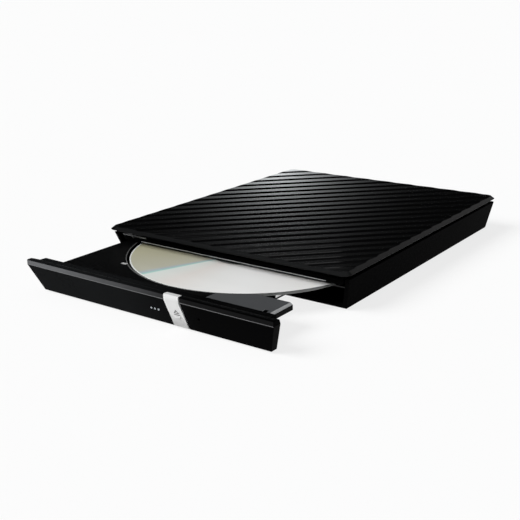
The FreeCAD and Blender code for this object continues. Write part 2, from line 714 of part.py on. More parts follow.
def shelf_slope():
    inner, low = SHELF_RIGHT - SHELF_BEVEL, DECK_TOP - SHELF_BEVEL * 2 / 3
    corner = [(inner, DECK_TOP), (SHELF_RIGHT, low), (SHELF_RIGHT + 1, low), (SHELF_RIGHT + 1, DECK_TOP + 1),
              (inner, DECK_TOP + 1)]
    return prism(corner, "y", (TRAY_Y, SHELF_BACK))


def tray_deck():
    deck = prism(tray_plan(), "z", (DECK_UNDER, DECK_TOP))
    bowl = post(DISC_X, DISC_Y, (WELL_UNDER, DECK_TOP), WELL_RADIUS + WELL_WALL)
    bowl = bowl.common(prism(tray_plan(), "z", (WELL_UNDER, DECK_TOP)))
    return fused([deck, bowl, shelf_lip()]).cut(shelf_slope())


def well_cuts():
    well = post(DISC_X, DISC_Y, (WELL_TOP, DECK_TOP + 1), WELL_RADIUS)
    rim_low = V(DISC_X, DISC_Y, DECK_TOP - RIM_CHAMFER)
    rim = Part.makeCone(WELL_RADIUS, WELL_RADIUS + RIM_CHAMFER, RIM_CHAMFER, rim_low)
    through = (WELL_UNDER - 1, WELL_TOP + 1)
    half = MAIN_ROD_OFFSET - SEAT / 2
    slot = box((DISC_X - half, DISC_X + half), (DISC_Y - DISC_RADIUS + 1, DISC_Y), through)
    return [well, rim, slot, post(DISC_X, DISC_Y, through, TURNTABLE_RADIUS + SLED_FRONT / 2)]


def tray_walls():
    x, y = (TRAY_LEFT, TRAY_RIGHT), (TRAY_Y, TRAY_BACK)
    z = (TRAY_WALL_BOTTOM, DECK_UNDER + DECK / 2)
    outer = box(x, y, z)
    side, end = TRAY_SIDE_WALL, TRAY_END_WALL
    inner = box((x[0] + side, x[1] - side), (y[0] + end, y[1] - end), z)
    depth = RAIL_WIDTH - GUIDE_GROOVE + RAIL_PLAY
    tracks = [box((x[0], x[0] + depth), y, RAIL_TRACK), box((x[1] - depth, x[1]), y, RAIL_TRACK)]
    gate_z = (TRAY_WALL_BOTTOM, PAN_FLOOR + POST_RISE + TRAY_FLOAT / 2)
    gate = block(POST_X, y[1], gate_z, 4 * POST_RADIUS, 2 * WALL)
    return outer.cut([inner, gate] + tracks)


def clip_spots():
    rise = math.sqrt((WELL_RADIUS + CLIP_DEPTH) ** 2 - CLIP_REACH ** 2)
    return [(DISC_X - CLIP_REACH, DISC_Y + side * rise) for side in (-1, 1)]


def tray():
    pivot = post(LATCH_X, LATCH_Y, (CHASSIS_BOTTOM + LATCH_LIFT - SHAFT_PLAY, WELL_UNDER + 1), PIVOT_RADIUS)
    body = fused([tray_deck(), tray_walls(), pivot])
    holes = [block(x, STUD_Y, (DECK_UNDER, DECK_TOP + 1), 2 * STUD + 0.4, 2 * STUD + 0.4) for x in STUDS]
    holes += [box((x - 2.2, x + 2.2), (TRAY_Y, STUD_Y + 1.8), (DECK_UNDER - DECK, DECK_UNDER)) for x in STUDS]
    clip_z = (DECK_TOP - CLIP_INSET, DECK_TOP + 1)
    holes += [block(x, y, clip_z, CLIP_WIDTH, CLIP_DEPTH) for x, y in clip_spots()]
    return body.cut(well_cuts() + holes)


def disc_clips():
    z = (DECK_TOP - CLIP_INSET, DECK_TOP + CLIP_RISE)
    return [block(x, y, z, CLIP_WIDTH - RAIL_PLAY, CLIP_DEPTH - RAIL_PLAY) for x, y in clip_spots()]


def tray_bottom_cover():
    z = (TRAY_WALL_BOTTOM - COVER_SHEET, TRAY_WALL_BOTTOM)
    body = box((TRAY_LEFT, POST_X - 2 * POST_RADIUS), (TRAY_Y, TRAY_BACK), z)
    vents = [block(DISC_X - DAMPER_SIDE + k * HOOK_LENGTH, DISC_Y + DAMPER_SIDE, z, WALL, 2 * HOOK_LENGTH)
             for k in range(5)]
    return body.cut(vents)


def mechanism_cover():
    z = (WELL_UNDER - COVER_SHEET, WELL_UNDER)
    y0 = DISC_Y - DISC_RADIUS - BOARD_GAP
    body = box((DISC_X - MAIN_ROD_OFFSET, DISC_X + MAIN_ROD_OFFSET), (y0, DISC_Y + MAIN_ROD_OFFSET), z)
    hole = post(DISC_X, DISC_Y, z, TURNTABLE_RADIUS + THIN_BOARD)
    slot = box((DISC_X - SLED_HALF / 2, DISC_X + SLED_HALF / 2), (y0 + THIN_BOARD, LENS_Y + LENS_POCKET), z)
    return body.cut([hole, slot])


# Traverse mechanism under the tray

def chassis_plan():
    x = (DISC_X - SCREW_OFFSET - CHASSIS_RIM, DISC_X + SUB_ROD_OFFSET + SEAT / 2)
    return x, (ROD_SPAN[0] - ROTOR_GAP, DISC_Y + CHASSIS_BACK)


def damper_ears():
    (left, right), (front, back) = chassis_plan()
    z, r = (CHASSIS_BOTTOM, CHASSIS_TOP), DAMPER_RADIUS
    ears = []
    for x, y in DAMPERS:
        if y > back:
            ears.append(box((x - r, x + r), (back - r, y + r), z))
        else:
            ears.append(box((x - r, left + r), (y - r, y + r), z))
    return ears


def seat(x, y, length, radius):
    z = (CHASSIS_TOP - CHASSIS / 2, ROD_HEIGHT + SEAT_TOP)
    stand = box((x - SEAT / 2, x + SEAT / 2), (y, y + length), z)
    return stand.cut(box((x - radius, x + radius), (y, y + length), (ROD_HEIGHT - radius, z[1])))


def rod_seats():
    seats = []
    for offset, radius in ((-MAIN_ROD_OFFSET, MAIN_ROD_RADIUS), (SUB_ROD_OFFSET, SUB_ROD_RADIUS)):
        for y in (ROD_SPAN[0], ROD_SPAN[1] - SEAT_LENGTH):
            seats.append(seat(DISC_X + offset, y, SEAT_LENGTH, radius))
    seats.append(seat(DISC_X - SCREW_OFFSET, FEED_SPAN[0], SEAT_LENGTH, FEED_RADIUS + SHAFT_PLAY))
    return seats


def traverse_chassis():
    x, y = chassis_plan()
    body = fused([box(x, y, (CHASSIS_BOTTOM, CHASSIS_TOP))] + damper_ears() + rod_seats())
    window = (y[0] + 2 * SEAT, DISC_Y - TURNTABLE_RADIUS)
    return body.cut(box((DISC_X - SLED_HALF, DISC_X + SLED_HALF), window, (CHASSIS_BOTTOM, CHASSIS_TOP)))


def damper_grommets():
    return [post(x, y, (CHASSIS_TOP, WELL_UNDER), DAMPER_RADIUS) for x, y in DAMPERS]


def guide_rod(offset, radius):
    return bar(DISC_X + offset, ROD_SPAN, ROD_HEIGHT, radius)


def lead_screw():
    y = (FEED_SPAN[0], FEED_SPAN[1] + MOTOR_LENGTH / 2)
    return bar(DISC_X - SCREW_OFFSET, y, ROD_HEIGHT, FEED_RADIUS)


def sled_motor():
    x, y = DISC_X - SCREW_OFFSET, FEED_SPAN[1]
    body = block(x, y + MOTOR_LENGTH / 2, (CHASSIS_TOP, SLED_TOP), MOTOR_WIDTH, MOTOR_LENGTH)
    return body.cut(bar(x, (y - 1, y + MOTOR_LENGTH / 2 + RAIL_PLAY), ROD_HEIGHT, FEED_RADIUS + SHAFT_PLAY))


def spindle_motor():
    reach = STATOR_RADIUS + SEAT
    corners = []
    for i in range(8):
        turn = math.pi * (i + 0.5) / 4
        corners.append((DISC_X + reach * math.cos(turn), DISC_Y + reach * math.sin(turn)))
    base = prism(corners, "z", (CHASSIS_TOP, CHASSIS_TOP + THIN_BOARD))
    stator = post(DISC_X, DISC_Y, (CHASSIS_TOP, CHASSIS_TOP + STATOR), STATOR_RADIUS)
    bore = post(DISC_X, DISC_Y, (CHASSIS_TOP, CHASSIS_TOP + STATOR), SHAFT_RADIUS + SHAFT_PLAY)
    return fused([base, stator]).cut(bore)


def turntable():
    rotor_z = CHASSIS_TOP + STATOR + ROTOR_GAP
    hub_top = DISC_TOP + HUB_RISE
    rotor = post(DISC_X, DISC_Y, (rotor_z, DISC_BOTTOM - PAD), TURNTABLE_RADIUS)
    hub = post(DISC_X, DISC_Y, (DISC_BOTTOM - PAD, hub_top), HUB_RADIUS)
    crown = Part.makeCone(HUB_RADIUS, HUB_RADIUS - HUB_TAPER, HUB_CROWN, V(DISC_X, DISC_Y, hub_top))
    shaft = post(DISC_X, DISC_Y, (CHASSIS_TOP + ROTOR_GAP, rotor_z), SHAFT_RADIUS)
    slots = [claw(turn, CLAW_SLACK) for turn in (90, 210, 330)]
    return fused([rotor, hub, crown, shaft]).cut(slots)


def claw(turn, grow):
    x = (HUB_RADIUS - CLAW_LENGTH - grow, DISC_HOLE_RADIUS - SHAFT_PLAY + grow)
    half = CLAW_WIDTH / 2 + grow
    low = DISC_TOP - CLAW_HEIGHT / 2
    body = box(x, (-half, half), (low - grow, low + CLAW_HEIGHT + 3 * grow))
    body.rotate(V(0, 0, 0), V(0, 0, 1), turn)
    body.translate(V(DISC_X, DISC_Y, 0))
    return body


def hub_claws():
    keep = post(DISC_X, DISC_Y, (DISC_BOTTOM, DISC_TOP + CLAW_HEIGHT), DISC_HOLE_RADIUS - SHAFT_PLAY)
    return [claw(turn, 0).common(keep) for turn in (90, 210, 330)]


def turntable_pad():
    outer = TURNTABLE_RADIUS - RAIL_PLAY
    return ring(DISC_X, DISC_Y, (DISC_BOTTOM - PAD, DISC_BOTTOM), outer, outer - PAD_WIDTH)


def disc():
    return ring(DISC_X, DISC_Y, (DISC_BOTTOM, DISC_TOP), DISC_RADIUS, DISC_HOLE_RADIUS)


def pickup_sled():
    x0, low, y = DISC_X, CHASSIS_TOP + SLED_PLAY, (LENS_Y, LENS_Y + ARM_LENGTH)
    main_x, sub_x, feed_x = x0 - MAIN_ROD_OFFSET, x0 + SUB_ROD_OFFSET, x0 - SCREW_OFFSET
    body = box((x0 - SLED_HALF, x0 + SLED_HALF), (LENS_Y - SLED_FRONT, LENS_Y + SLED_BACK), (low, SLED_TOP))
    left = box((main_x - SEAT / 2, x0 - SLED_HALF + 1), y, (low, SLED_TOP))
    right = box((x0 + SLED_HALF - 1, sub_x + SEAT / 2), y, (low, SLED_TOP))
    nut_y = (y[0] + SEAT_LENGTH, y[1] - SEAT_LENGTH)
    nut = box((feed_x + FEED_RADIUS + SHAFT_PLAY, main_x - SEAT / 2 + 1), nut_y,
              (ROD_HEIGHT - FEED_RADIUS / 2, ROD_HEIGHT + FEED_RADIUS / 2))
    turret = block(x0, LENS_Y, (low, WELL_UNDER - RAIL_PLAY), LENS_POCKET + 2 * WALL, LENS_POCKET + WALL)
    round_rotor = post(x0, DISC_Y, (low, SLED_TOP), TURNTABLE_RADIUS + WALL / 2)
    bore = bar(main_x, y, ROD_HEIGHT, MAIN_ROD_RADIUS + SHAFT_PLAY)
    saddle = SUB_ROD_RADIUS + SHAFT_PLAY
    notch = box((sub_x - saddle, sub_x + saddle), y, (low, ROD_HEIGHT + saddle))
    pocket = block(x0, LENS_Y, (SLED_TOP - 2 * LENS_THICKNESS, SLED_TOP + 1), LENS_POCKET, LENS_POCKET)
    return fused([body, left, right, nut, turret]).cut([round_rotor, bore, notch, pocket])


def objective_lens():
    top = SLED_TOP + RAIL_PLAY
    holder = block(DISC_X, LENS_Y, (top - LENS_THICKNESS, top), LENS_HOLDER, LENS_HOLDER)
    lens = Part.makeCone(LENS_RADIUS, LENS_RADIUS / 2, LENS_RISE, V(DISC_X, LENS_Y, top))
    return fused([holder, lens])


# Front of the tray: bezel, button, switch and lights

def bezel_back_y(z):
    return mouth_y(z) - BEZEL_GAP


def bezel_ends(inset, low):
    top = HALF - BEZEL_ASIDE - inset
    foot = top - BEZEL_END_TAPER
    face = [(-foot, low), (-top, BAND_LOW), (-top, BEZEL_TOP), (top, BEZEL_TOP), (top, BAND_LOW), (foot, low)]
    return prism([(x - BEZEL_ASIDE, z) for x, z in face], "y", (2 * FRONT, 0))


def at_back_corner(edge):
    ends = [edge.Vertexes[0].Point, edge.Vertexes[-1].Point]
    return abs(ends[0].z - ends[1].z) > BEZEL_EDGE and all(abs(p.y - bezel_back_y(p.z)) < SAME for p in ends)


def bezel_outside():
    notch = BEZEL_TOP - BEZEL_NOTCH
    side = [(bezel_face_y(0), 0), (BEZEL_Y, BAND_LOW), (BEZEL_Y, BEZEL_TOP - BEZEL_EDGE),
            (BEZEL_Y + BEZEL_EDGE, BEZEL_TOP), (BEZEL_Y + BEZEL_DEPTH, BEZEL_TOP),
            (bezel_back_y(notch), notch), (bezel_back_y(0), 0)]
    body = prism(side, "x", (-2 * HALF, 2 * HALF)).common(bezel_ends(0, 0))
    return body.makeChamfer(BEZEL_END_CUT, [e for e in body.Edges if at_back_corner(e)])


def bezel_inside():
    t, skin, far = BEZEL_WALL, FLOOR, FLANGE_BACK + CASE_SIDE_ROOM
    side = [(bezel_face_y(t) + t, skin), (BEZEL_Y + t, BAND_LOW), (BEZEL_Y + t, BEZEL_TOP - skin),
            (far, BEZEL_TOP - skin), (far, skin)]
    return prism(side, "x", (-2 * HALF, 2 * HALF)).common(bezel_ends(t, -1))


def bezel_carrier():
    low = DECK_UNDER + RAIL_PLAY
    wide = (-FLANGE_HALF, FLANGE_HALF)
    front = BEZEL_Y + BEZEL_DEPTH - BEZEL_WALL / 2
    flange = box(wide, (front, FLANGE_BACK), (FLANGE_TOP - FLANGE, FLANGE_TOP))
    web = box(wide, (FLANGE_BACK - WEB, FLANGE_BACK), (low, FLANGE_TOP))
    shelf = box((DECK_LEFT, SHELF_RIGHT), (FLANGE_BACK - WEB, TRAY_Y - BEZEL_GAP), (low, low + SHELF))
    ribs = []
    for part in STIFFENERS:
        x = part * FLANGE_HALF
        ribs.append(box((x - STIFFENER / 2, x + STIFFENER / 2), (BEZEL_Y + BEZEL_DEPTH, FLANGE_BACK),
                        (low - STUD_BACK, FLANGE_TOP - FLANGE / 2)))
    return [flange, web, shelf] + ribs


def bezel_studs():
    low = DECK_UNDER - RAIL_PLAY - TONGUE
    studs = []
    for x in STUDS:
        wide = (x - 2 * TONGUE, x + 2 * TONGUE)
        studs.append(box(wide, (TRAY_Y - 3 * TONGUE, STUD_Y + 2 * STUD), (low, low + TONGUE)))
        studs.append(box(wide, (TRAY_Y - 3 * TONGUE, TRAY_Y - TONGUE), (low, DECK_UNDER + RAIL_PLAY + SHELF)))
        studs.append(block(x, STUD_Y, (low, DECK_TOP + STUD_RISE), 2 * STUD, 2 * STUD))
    return studs


def button_sides(grow, low):
    half = BUTTON_WIDTH / 2 + grow
    foot, top = BUTTON_FOOT_X, BUTTON_FOOT_X - BUTTON_SLANT
    high = BEZEL_TOP + WALL
    return prism([(foot - half, low), (top - half, high), (top + half, high), (foot + half, low)], "y",
                 (2 * FRONT, 0))


def bezel():
    shell = bezel_outside().cut(bezel_inside())
    body = fused([shell] + bezel_carrier() + bezel_studs())
    low, high, over = -WALL, BAND_LOW - BUTTON_THICKNESS, BEZEL_TOP + WALL
    depth = BUTTON_THICKNESS + BUTTON_TRAVEL + BUTTON_CLEAR
    back = BUTTON_BACK + BUTTON_TRAVEL + BUTTON_CLEAR
    track = [(bezel_face_y(low) - WALL, low), (BEZEL_Y - WALL, over), (back, over),
             (back, BEZEL_TOP - BUTTON_THICKNESS), (bezel_face_y(high) + depth, high),
             (bezel_face_y(low) + depth, low)]
    slot = prism(track, "x", (-HALF, HALF)).common(button_sides(BUTTON_CLEAR, low))
    y = (2 * FRONT, bezel_face_y(LED_HEIGHT) + 2 * BEZEL_WALL)
    holes = [bar(x, y, LED_HEIGHT, LED_RADIUS + SHAFT_PLAY) for x in LED_STEPS]
    return body.cut([slot, bar(PINHOLE_X, y, PINHOLE_HEIGHT, PINHOLE_RADIUS)] + holes)


def stem_x():
    return BUTTON_FOOT_X - STEM / 4


def button_strip():
    t, low, top = BUTTON_THICKNESS, BUTTON_FOOT, BEZEL_TOP + BUTTON_FOOT
    nose = BEZEL_Y - BUTTON_PROUD
    skin = [(bezel_face_y(low) - BUTTON_PROUD, low), (nose, BAND_LOW), (nose, top - 2 * BEZEL_EDGE),
            (nose + BEZEL_EDGE, top), (BUTTON_BACK, top), (BUTTON_BACK, BEZEL_TOP - t / 2),
            (BEZEL_Y + t, BEZEL_TOP - t / 2), (BEZEL_Y + t, BAND_LOW), (bezel_face_y(low) + t, low)]
    return prism(skin, "x", (-HALF, HALF)).common(button_sides(0, low))


def eject_button():
    z = (LED_HEIGHT - 2 * LUG, LED_HEIGHT - 2 * LUG + LUG_HEIGHT)
    y = bezel_face_y(z[0]) + BEZEL_WALL + BUTTON_PROUD
    x = stem_x()
    lug = box((BUTTON_FOOT_X - LUG_REACH, BUTTON_FOOT_X + LUG_REACH), (y, y + LUG), z)
    neck = box((x - STEM, x + STEM), (bezel_face_y(z[1]) + BUTTON_THICKNESS - LUG, y + LUG / 2), z)
    stem_y = (y + LUG / 2, switch_y() - LUG - RAIL_PLAY)
    stem = box((x - STEM / 2, x + STEM / 2), stem_y, (z[0] + LUG, z[1] - LUG))
    return fused([button_strip(), lug, neck, stem])


def switch_y():
    return mouth_y(LED_HEIGHT) + SWITCH_BACK


def front_board():
    return box((0, PINHOLE_X - 2 * PINHOLE_RADIUS), (switch_y() - 2 * LUG, TRAY_Y - BEZEL_GAP),
               (FRONT_BOARD_TOP - THIN_BOARD, FRONT_BOARD_TOP))


def status_leds():
    y, z = switch_y() - SWITCH_BACK / 2, (FRONT_BOARD_TOP, FRONT_BOARD_TOP + LED_BODY)
    return [block(x, y, z, 2 * LUG, SWITCH_BACK) for x in LED_STEPS]


def light_guide():
    face = bezel_face_y(LED_HEIGHT)
    y = (face + BEZEL_WALL + BUTTON_CLEAR, switch_y() - SWITCH_BACK - RAIL_PLAY)
    x = (LED_STEPS[0] - 2 * LED_RADIUS, LED_STEPS[-1] + 2 * LED_RADIUS)
    bridge = box(x, y, (LED_HEIGHT - LED_RADIUS - SHAFT_PLAY, LED_HEIGHT + LED_RADIUS + BUTTON_CLEAR))
    tips = [bar(a, (face + SHAFT_PLAY, y[0] + LED_RADIUS), LED_HEIGHT, LED_RADIUS) for a in LED_STEPS]
    return fused([bridge] + tips)


def switch_middle():
    return FRONT_BOARD_TOP + SWITCH_HEIGHT / 2


def eject_switch():
    x, y, z = stem_x(), switch_y(), switch_middle()
    body = box((x - SWITCH_WIDTH / 2, x + SWITCH_WIDTH / 2), (y, TRAY_Y - BEZEL_GAP),
               (FRONT_BOARD_TOP, FRONT_BOARD_TOP + SWITCH_HEIGHT))
    tall = PLUNGER / 2 + RAIL_PLAY
    return body.cut(block(x, y, (z - tall, z + tall), 2 * (PLUNGER + RAIL_PLAY), 2 * (LUG + RAIL_PLAY)))


def switch_plunger():
    x, y, z = stem_x(), switch_y(), switch_middle()
    return box((x - PLUNGER, x + PLUNGER), (y - LUG, y + LUG / 4), (z - PLUNGER / 2, z + PLUNGER / 2))


# Latch under the tray

def latch_lever():
    x, y, tip, r = LATCH_X, LATCH_Y, LATCH_Y - LATCH_ARM, PIVOT_RADIUS
    z = (CHASSIS_BOTTOM + LATCH_LIFT, WELL_UNDER - THIN_BOARD)
    edge = x + LATCH_HUB - LATCH_PIN
    arm = prism([(x - r, y), (x - r, tip + r), (x - r / 3, tip), (edge, tip), (edge, y)], "z", z)
    hub = post(x, y, z, LATCH_HUB)
    tail = block(x - LATCH_TAIL / 2, y, (z[0] + r, z[1]), LATCH_TAIL + 2 * LATCH_PIN, 3 * LATCH_PIN)
    pin = block(x - LATCH_TAIL, y, (z[0] - 2 * r / 3, z[1]), 2 * LATCH_PIN, 2 * LATCH_PIN)
    hook = tip + LATCH_HUB * 2
    tooth = prism([(x - r, tip + r), (edge, tip + r), (edge, hook), (x + r / 2, hook)], "z",
                  (CHASSIS_BOTTOM + RAIL_PLAY, z[1]))
    return fused([arm, hub, tail, pin, tooth]).cut(post(x, y, z, PIVOT_RADIUS + SHAFT_PLAY))


def latch_solenoid():
    x, y = LATCH_X - LATCH_TAIL, SOLENOID_Y
    z = (CHASSIS_BOTTOM + RAIL_PLAY, WELL_UNDER)
    body = block(x, y + SOLENOID_LENGTH / 2, z, SOLENOID_WIDTH, SOLENOID_LENGTH)
    return body.cut(bar(x, (y - 1, y + SOLENOID_LENGTH * 0.8), ROD_HEIGHT, SOLENOID_ROD + SHAFT_PLAY))


def solenoid_plunger():
    x, y = LATCH_X - LATCH_TAIL, LATCH_Y
    rod = bar(x, (y + LATCH_HUB / 2, SOLENOID_Y + SOLENOID_BACK), ROD_HEIGHT, SOLENOID_ROD)
    slack = LATCH_PIN + RAIL_PLAY
    fork = box((x - LATCH_HUB, x + LATCH_HUB), (y - 2 * slack, y + 3 * slack),
               (ROD_HEIGHT - SOLENOID_ROD, ROD_HEIGHT + LATCH_PIN))
    eye = block(x, y, (ROD_HEIGHT - PIVOT_RADIUS, ROD_HEIGHT + PIVOT_RADIUS), 4 * slack, 2 * slack)
    return fused([rod, fork]).cut(eye)


CASE_PARTS = {
    "top_cover": top_cover, "bottom_case": bottom_case, "rubber_feet": rubber_feet,
    "case_screws": case_screws, "bridge_board": bridge_board, "bridge_parts": bridge_parts,
    "bridge_connector": bridge_connector, "usb_socket": usb_socket, "drive_chassis": drive_chassis,
    "drive_cover": drive_cover, "drive_connector": drive_connector, "main_board": main_board,
    "main_board_chips": main_board_chips,
    "left_rail_guide": lambda: rail_guide(LEFT_WALL, 1),
    "right_rail_guide": lambda: rail_guide(RIGHT_WALL, -1),
    "left_slide_rail": lambda: slide_rail(LEFT_WALL, 1),
    "right_slide_rail": lambda: slide_rail(RIGHT_WALL, -1),
}

TRAY_PARTS = {
    "tray": tray, "tray_bottom_cover": tray_bottom_cover, "mechanism_cover": mechanism_cover,
    "disc_clips": disc_clips, "traverse_chassis": traverse_chassis, "damper_grommets": damper_grommets,
    "main_guide_rod": lambda: guide_rod(-MAIN_ROD_OFFSET, MAIN_ROD_RADIUS),
    "sub_guide_rod": lambda: guide_rod(SUB_ROD_OFFSET, SUB_ROD_RADIUS),
    "lead_screw": lead_screw, "sled_motor": sled_motor, "spindle_motor": spindle_motor,
    "turntable": turntable, "hub_claws": hub_claws, "turntable_pad": turntable_pad, "disc": disc,
    "pickup_sled": pickup_sled, "objective_lens": objective_lens, "bezel": bezel,
    "eject_button": eject_button, "front_board": front_board, "status_leds": status_leds,
    "light_guide": light_guide, "eject_switch": eject_switch, "switch_plunger": switch_plunger,
    "latch_lever": latch_lever, "latch_solenoid": latch_solenoid, "solenoid_plunger": solenoid_plunger,
}


def save(name, made, shift):
    shape = Part.makeCompound(made) if isinstance(made, list) else made
    shape.translate(shift)
    shape.exportStep(os.path.join("parts", name + ".step"))


def main():
    os.makedirs("parts", exist_ok=True)
    for name, make in CASE_PARTS.items():
        save(name, make(), V(0, 0, 0))
    for name, make in TRAY_PARTS.items():
        save(name, make(), V(0, -TRAY_OUT, 0))


main()
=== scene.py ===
import json
import math

import bmesh
import bpy
from mathutils import Matrix, Vector
from mathutils.bvhtree import BVHTree


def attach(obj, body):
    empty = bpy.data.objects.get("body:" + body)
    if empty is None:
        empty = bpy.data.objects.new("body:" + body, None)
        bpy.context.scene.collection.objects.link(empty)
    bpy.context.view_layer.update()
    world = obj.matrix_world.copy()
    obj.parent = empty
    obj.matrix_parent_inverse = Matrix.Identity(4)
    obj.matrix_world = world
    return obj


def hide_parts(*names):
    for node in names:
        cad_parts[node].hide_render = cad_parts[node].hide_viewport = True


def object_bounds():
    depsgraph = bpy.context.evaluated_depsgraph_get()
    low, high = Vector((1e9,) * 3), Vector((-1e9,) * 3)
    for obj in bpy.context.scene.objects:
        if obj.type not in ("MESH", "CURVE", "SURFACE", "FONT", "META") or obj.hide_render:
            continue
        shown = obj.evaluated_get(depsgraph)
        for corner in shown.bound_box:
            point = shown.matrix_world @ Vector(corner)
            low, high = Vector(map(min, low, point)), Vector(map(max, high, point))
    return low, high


# The looks of a slim external disc drive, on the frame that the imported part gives.
# X runs across the front, the tray slides out along -Y, Z is up.
# Numbers in world space are metres, and numbers on the object are millimetres where a comment says so.

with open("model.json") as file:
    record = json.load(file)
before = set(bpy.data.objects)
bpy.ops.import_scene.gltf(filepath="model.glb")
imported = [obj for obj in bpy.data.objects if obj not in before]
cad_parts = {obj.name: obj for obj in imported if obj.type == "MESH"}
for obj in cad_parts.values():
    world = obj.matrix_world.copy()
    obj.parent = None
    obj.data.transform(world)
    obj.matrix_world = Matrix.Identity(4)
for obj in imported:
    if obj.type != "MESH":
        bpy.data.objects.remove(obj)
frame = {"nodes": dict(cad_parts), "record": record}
cad_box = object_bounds()
nodes = frame["nodes"]


# Camera and light

# The photo's camera, solved from the object's edges. Place in metres, lens in millimetres.
CAMERA_PLACE = (0.24608, -0.38676, 0.13825)
CAMERA_AZIMUTH = math.radians(36.09)
CAMERA_ELEVATION = math.radians(17.82)
CAMERA_ROLL = math.radians(-0.91)
CAMERA_LENS = 60.17
CAMERA_SENSOR = 36.0


def add_camera():
    azimuth, elevation, roll = CAMERA_AZIMUTH, CAMERA_ELEVATION, CAMERA_ROLL
    forward = Vector((-math.sin(azimuth) * math.cos(elevation), math.cos(azimuth) * math.cos(elevation),
                      -math.sin(elevation)))
    flat = Vector((math.cos(azimuth), math.sin(azimuth), 0))
    upright = flat.cross(forward)
    right = flat * math.cos(roll) + upright * math.sin(roll)
    up = -flat * math.sin(roll) + upright * math.cos(roll)
    data = bpy.data.cameras.new("photo_camera")
    data.sensor_fit = "HORIZONTAL"
    data.sensor_width = CAMERA_SENSOR
    data.lens = CAMERA_LENS
    data.clip_start = 0.01
    camera = bpy.data.objects.new("photo_camera", data)
    turned = Matrix((right, up, -forward)).transposed().to_4x4()
    camera.matrix_world = Matrix.Translation(CAMERA_PLACE) @ turned
    bpy.context.scene.collection.objects.link(camera)
    bpy.context.scene.camera = camera


def add_lamp(name, place, target, size, watts):
    """A rectangular lamp that the camera doesn't see. Metres and watts."""
    data = bpy.data.lights.new(name, "AREA")
    data.shape = "RECTANGLE"
    data.size, data.size_y = size
    data.energy = watts
    lamp = bpy.data.objects.new(name, data)
    aim = (Vector(target) - Vector(place)).to_track_quat("-Z", "Y")
    lamp.matrix_world = Matrix.Translation(place) @ aim.to_matrix().to_4x4()
    lamp.visible_camera = False
    bpy.context.scene.collection.objects.link(lamp)


def add_sun(name, azimuth, elevation, spread, strength):
    """A soft lamp from far away that gloss doesn't mirror. Angles in degrees."""
    data = bpy.data.lights.new(name, "SUN")
    data.energy = strength
    data.angle = math.radians(spread)
    lamp = bpy.data.objects.new(name, data)
    a, e = math.radians(azimuth), math.radians(elevation)
    toward = Vector((math.sin(a) * math.cos(e), -math.cos(a) * math.cos(e), math.sin(e)))
    lamp.matrix_world = toward.to_track_quat("Z", "Y").to_matrix().to_4x4()
    lamp.visible_glossy = False
    bpy.context.scene.collection.objects.link(lamp)


# The studio round the object: its white backdrop fades into a dark room above the horizon, with a dim ceiling,
# and a soft glow stands behind the object's back left corner. Angles in degrees, widths as parts of a radian.
ROOM = 0.004
BACKDROP = 0.97
BACKDROP_FADE = (1.5, 6.0)
CEILING = 0.35
CEILING_FADE = (31.0, 75.0)
GLOW = 5.2
GLOW_AZIMUTH = -35.0
GLOW_ELEVATION = 6.4
GLOW_SIZE = (0.9, 0.44)
GLOW_REACH = 2.0
GLOW_FALL = 30.0
SKY_TINT = (0.95, 0.98, 1.0, 1)


def by_height(tree, height, angles, low, high):
    """A soft step from one value to another between two angles above the horizon."""
    step = tree.nodes.new("ShaderNodeMapRange")
    step.interpolation_type = "SMOOTHSTEP"
    step.inputs["From Min"].default_value = math.sin(math.radians(angles[0]))
    step.inputs["From Max"].default_value = math.sin(math.radians(angles[1]))
    step.inputs["To Min"].default_value = low
    step.inputs["To Max"].default_value = high
    tree.links.new(height, step.inputs["Value"])
    return step.outputs["Result"]


def add_world():
    world = bpy.data.worlds.new("studio")
    world.use_nodes = True
    tree = world.node_tree
    link = tree.links.new
    back = tree.nodes["Background"]
    back.inputs["Color"].default_value = SKY_TINT
    toward = tree.nodes.new("ShaderNodeTexCoord")
    parts = tree.nodes.new("ShaderNodeSeparateXYZ")
    link(toward.outputs["Generated"], parts.inputs[0])
    room = tree.nodes.new("ShaderNodeMath")
    room.operation = "ADD"
    link(by_height(tree, parts.outputs["Z"], BACKDROP_FADE, BACKDROP, ROOM), room.inputs[0])
    link(by_height(tree, parts.outputs["Z"], CEILING_FADE, 0, CEILING), room.inputs[1])
    a, e = math.radians(GLOW_AZIMUTH), math.radians(GLOW_ELEVATION)
    spot = tree.nodes.new("ShaderNodeMapping")
    spot.vector_type = "TEXTURE"
    spot.inputs["Location"].default_value = (math.sin(a) * math.cos(e), math.cos(a) * math.cos(e), math.sin(e))
    spot.inputs["Rotation"].default_value = (0, 0, -a)
    spot.inputs["Scale"].default_value = (GLOW_SIZE[0], GLOW_REACH, GLOW_SIZE[1])
    link(toward.outputs["Generated"], spot.inputs["Vector"])
    ball = tree.nodes.new("ShaderNodeTexGradient")
    ball.gradient_type = "SPHERICAL"
    link(spot.outputs["Vector"], ball.inputs["Vector"])
    fall = tree.nodes.new("ShaderNodeMath")
    fall.operation = "POWER"
    fall.inputs[1].default_value = GLOW_FALL
    link(ball.outputs["Fac"], fall.inputs[0])
    total = tree.nodes.new("ShaderNodeMath")
    total.operation = "MULTIPLY_ADD"
    total.inputs[1].default_value = GLOW
    link(fall.outputs[0], total.inputs[0])
    link(room.outputs[0], total.inputs[2])
    link(total.outputs[0], back.inputs["Strength"])
    bpy.context.scene.world = world


# A white floor that takes a faint shadow: to the camera and to gloss, most of it is plain white. Metres.
FLOOR_COLOR = (0.82, 0.82, 0.82, 1)
FLOOR_PLAIN = 0.8
FLOOR_RADIUS = 60.0
FLOOR_GAP = 0.00002


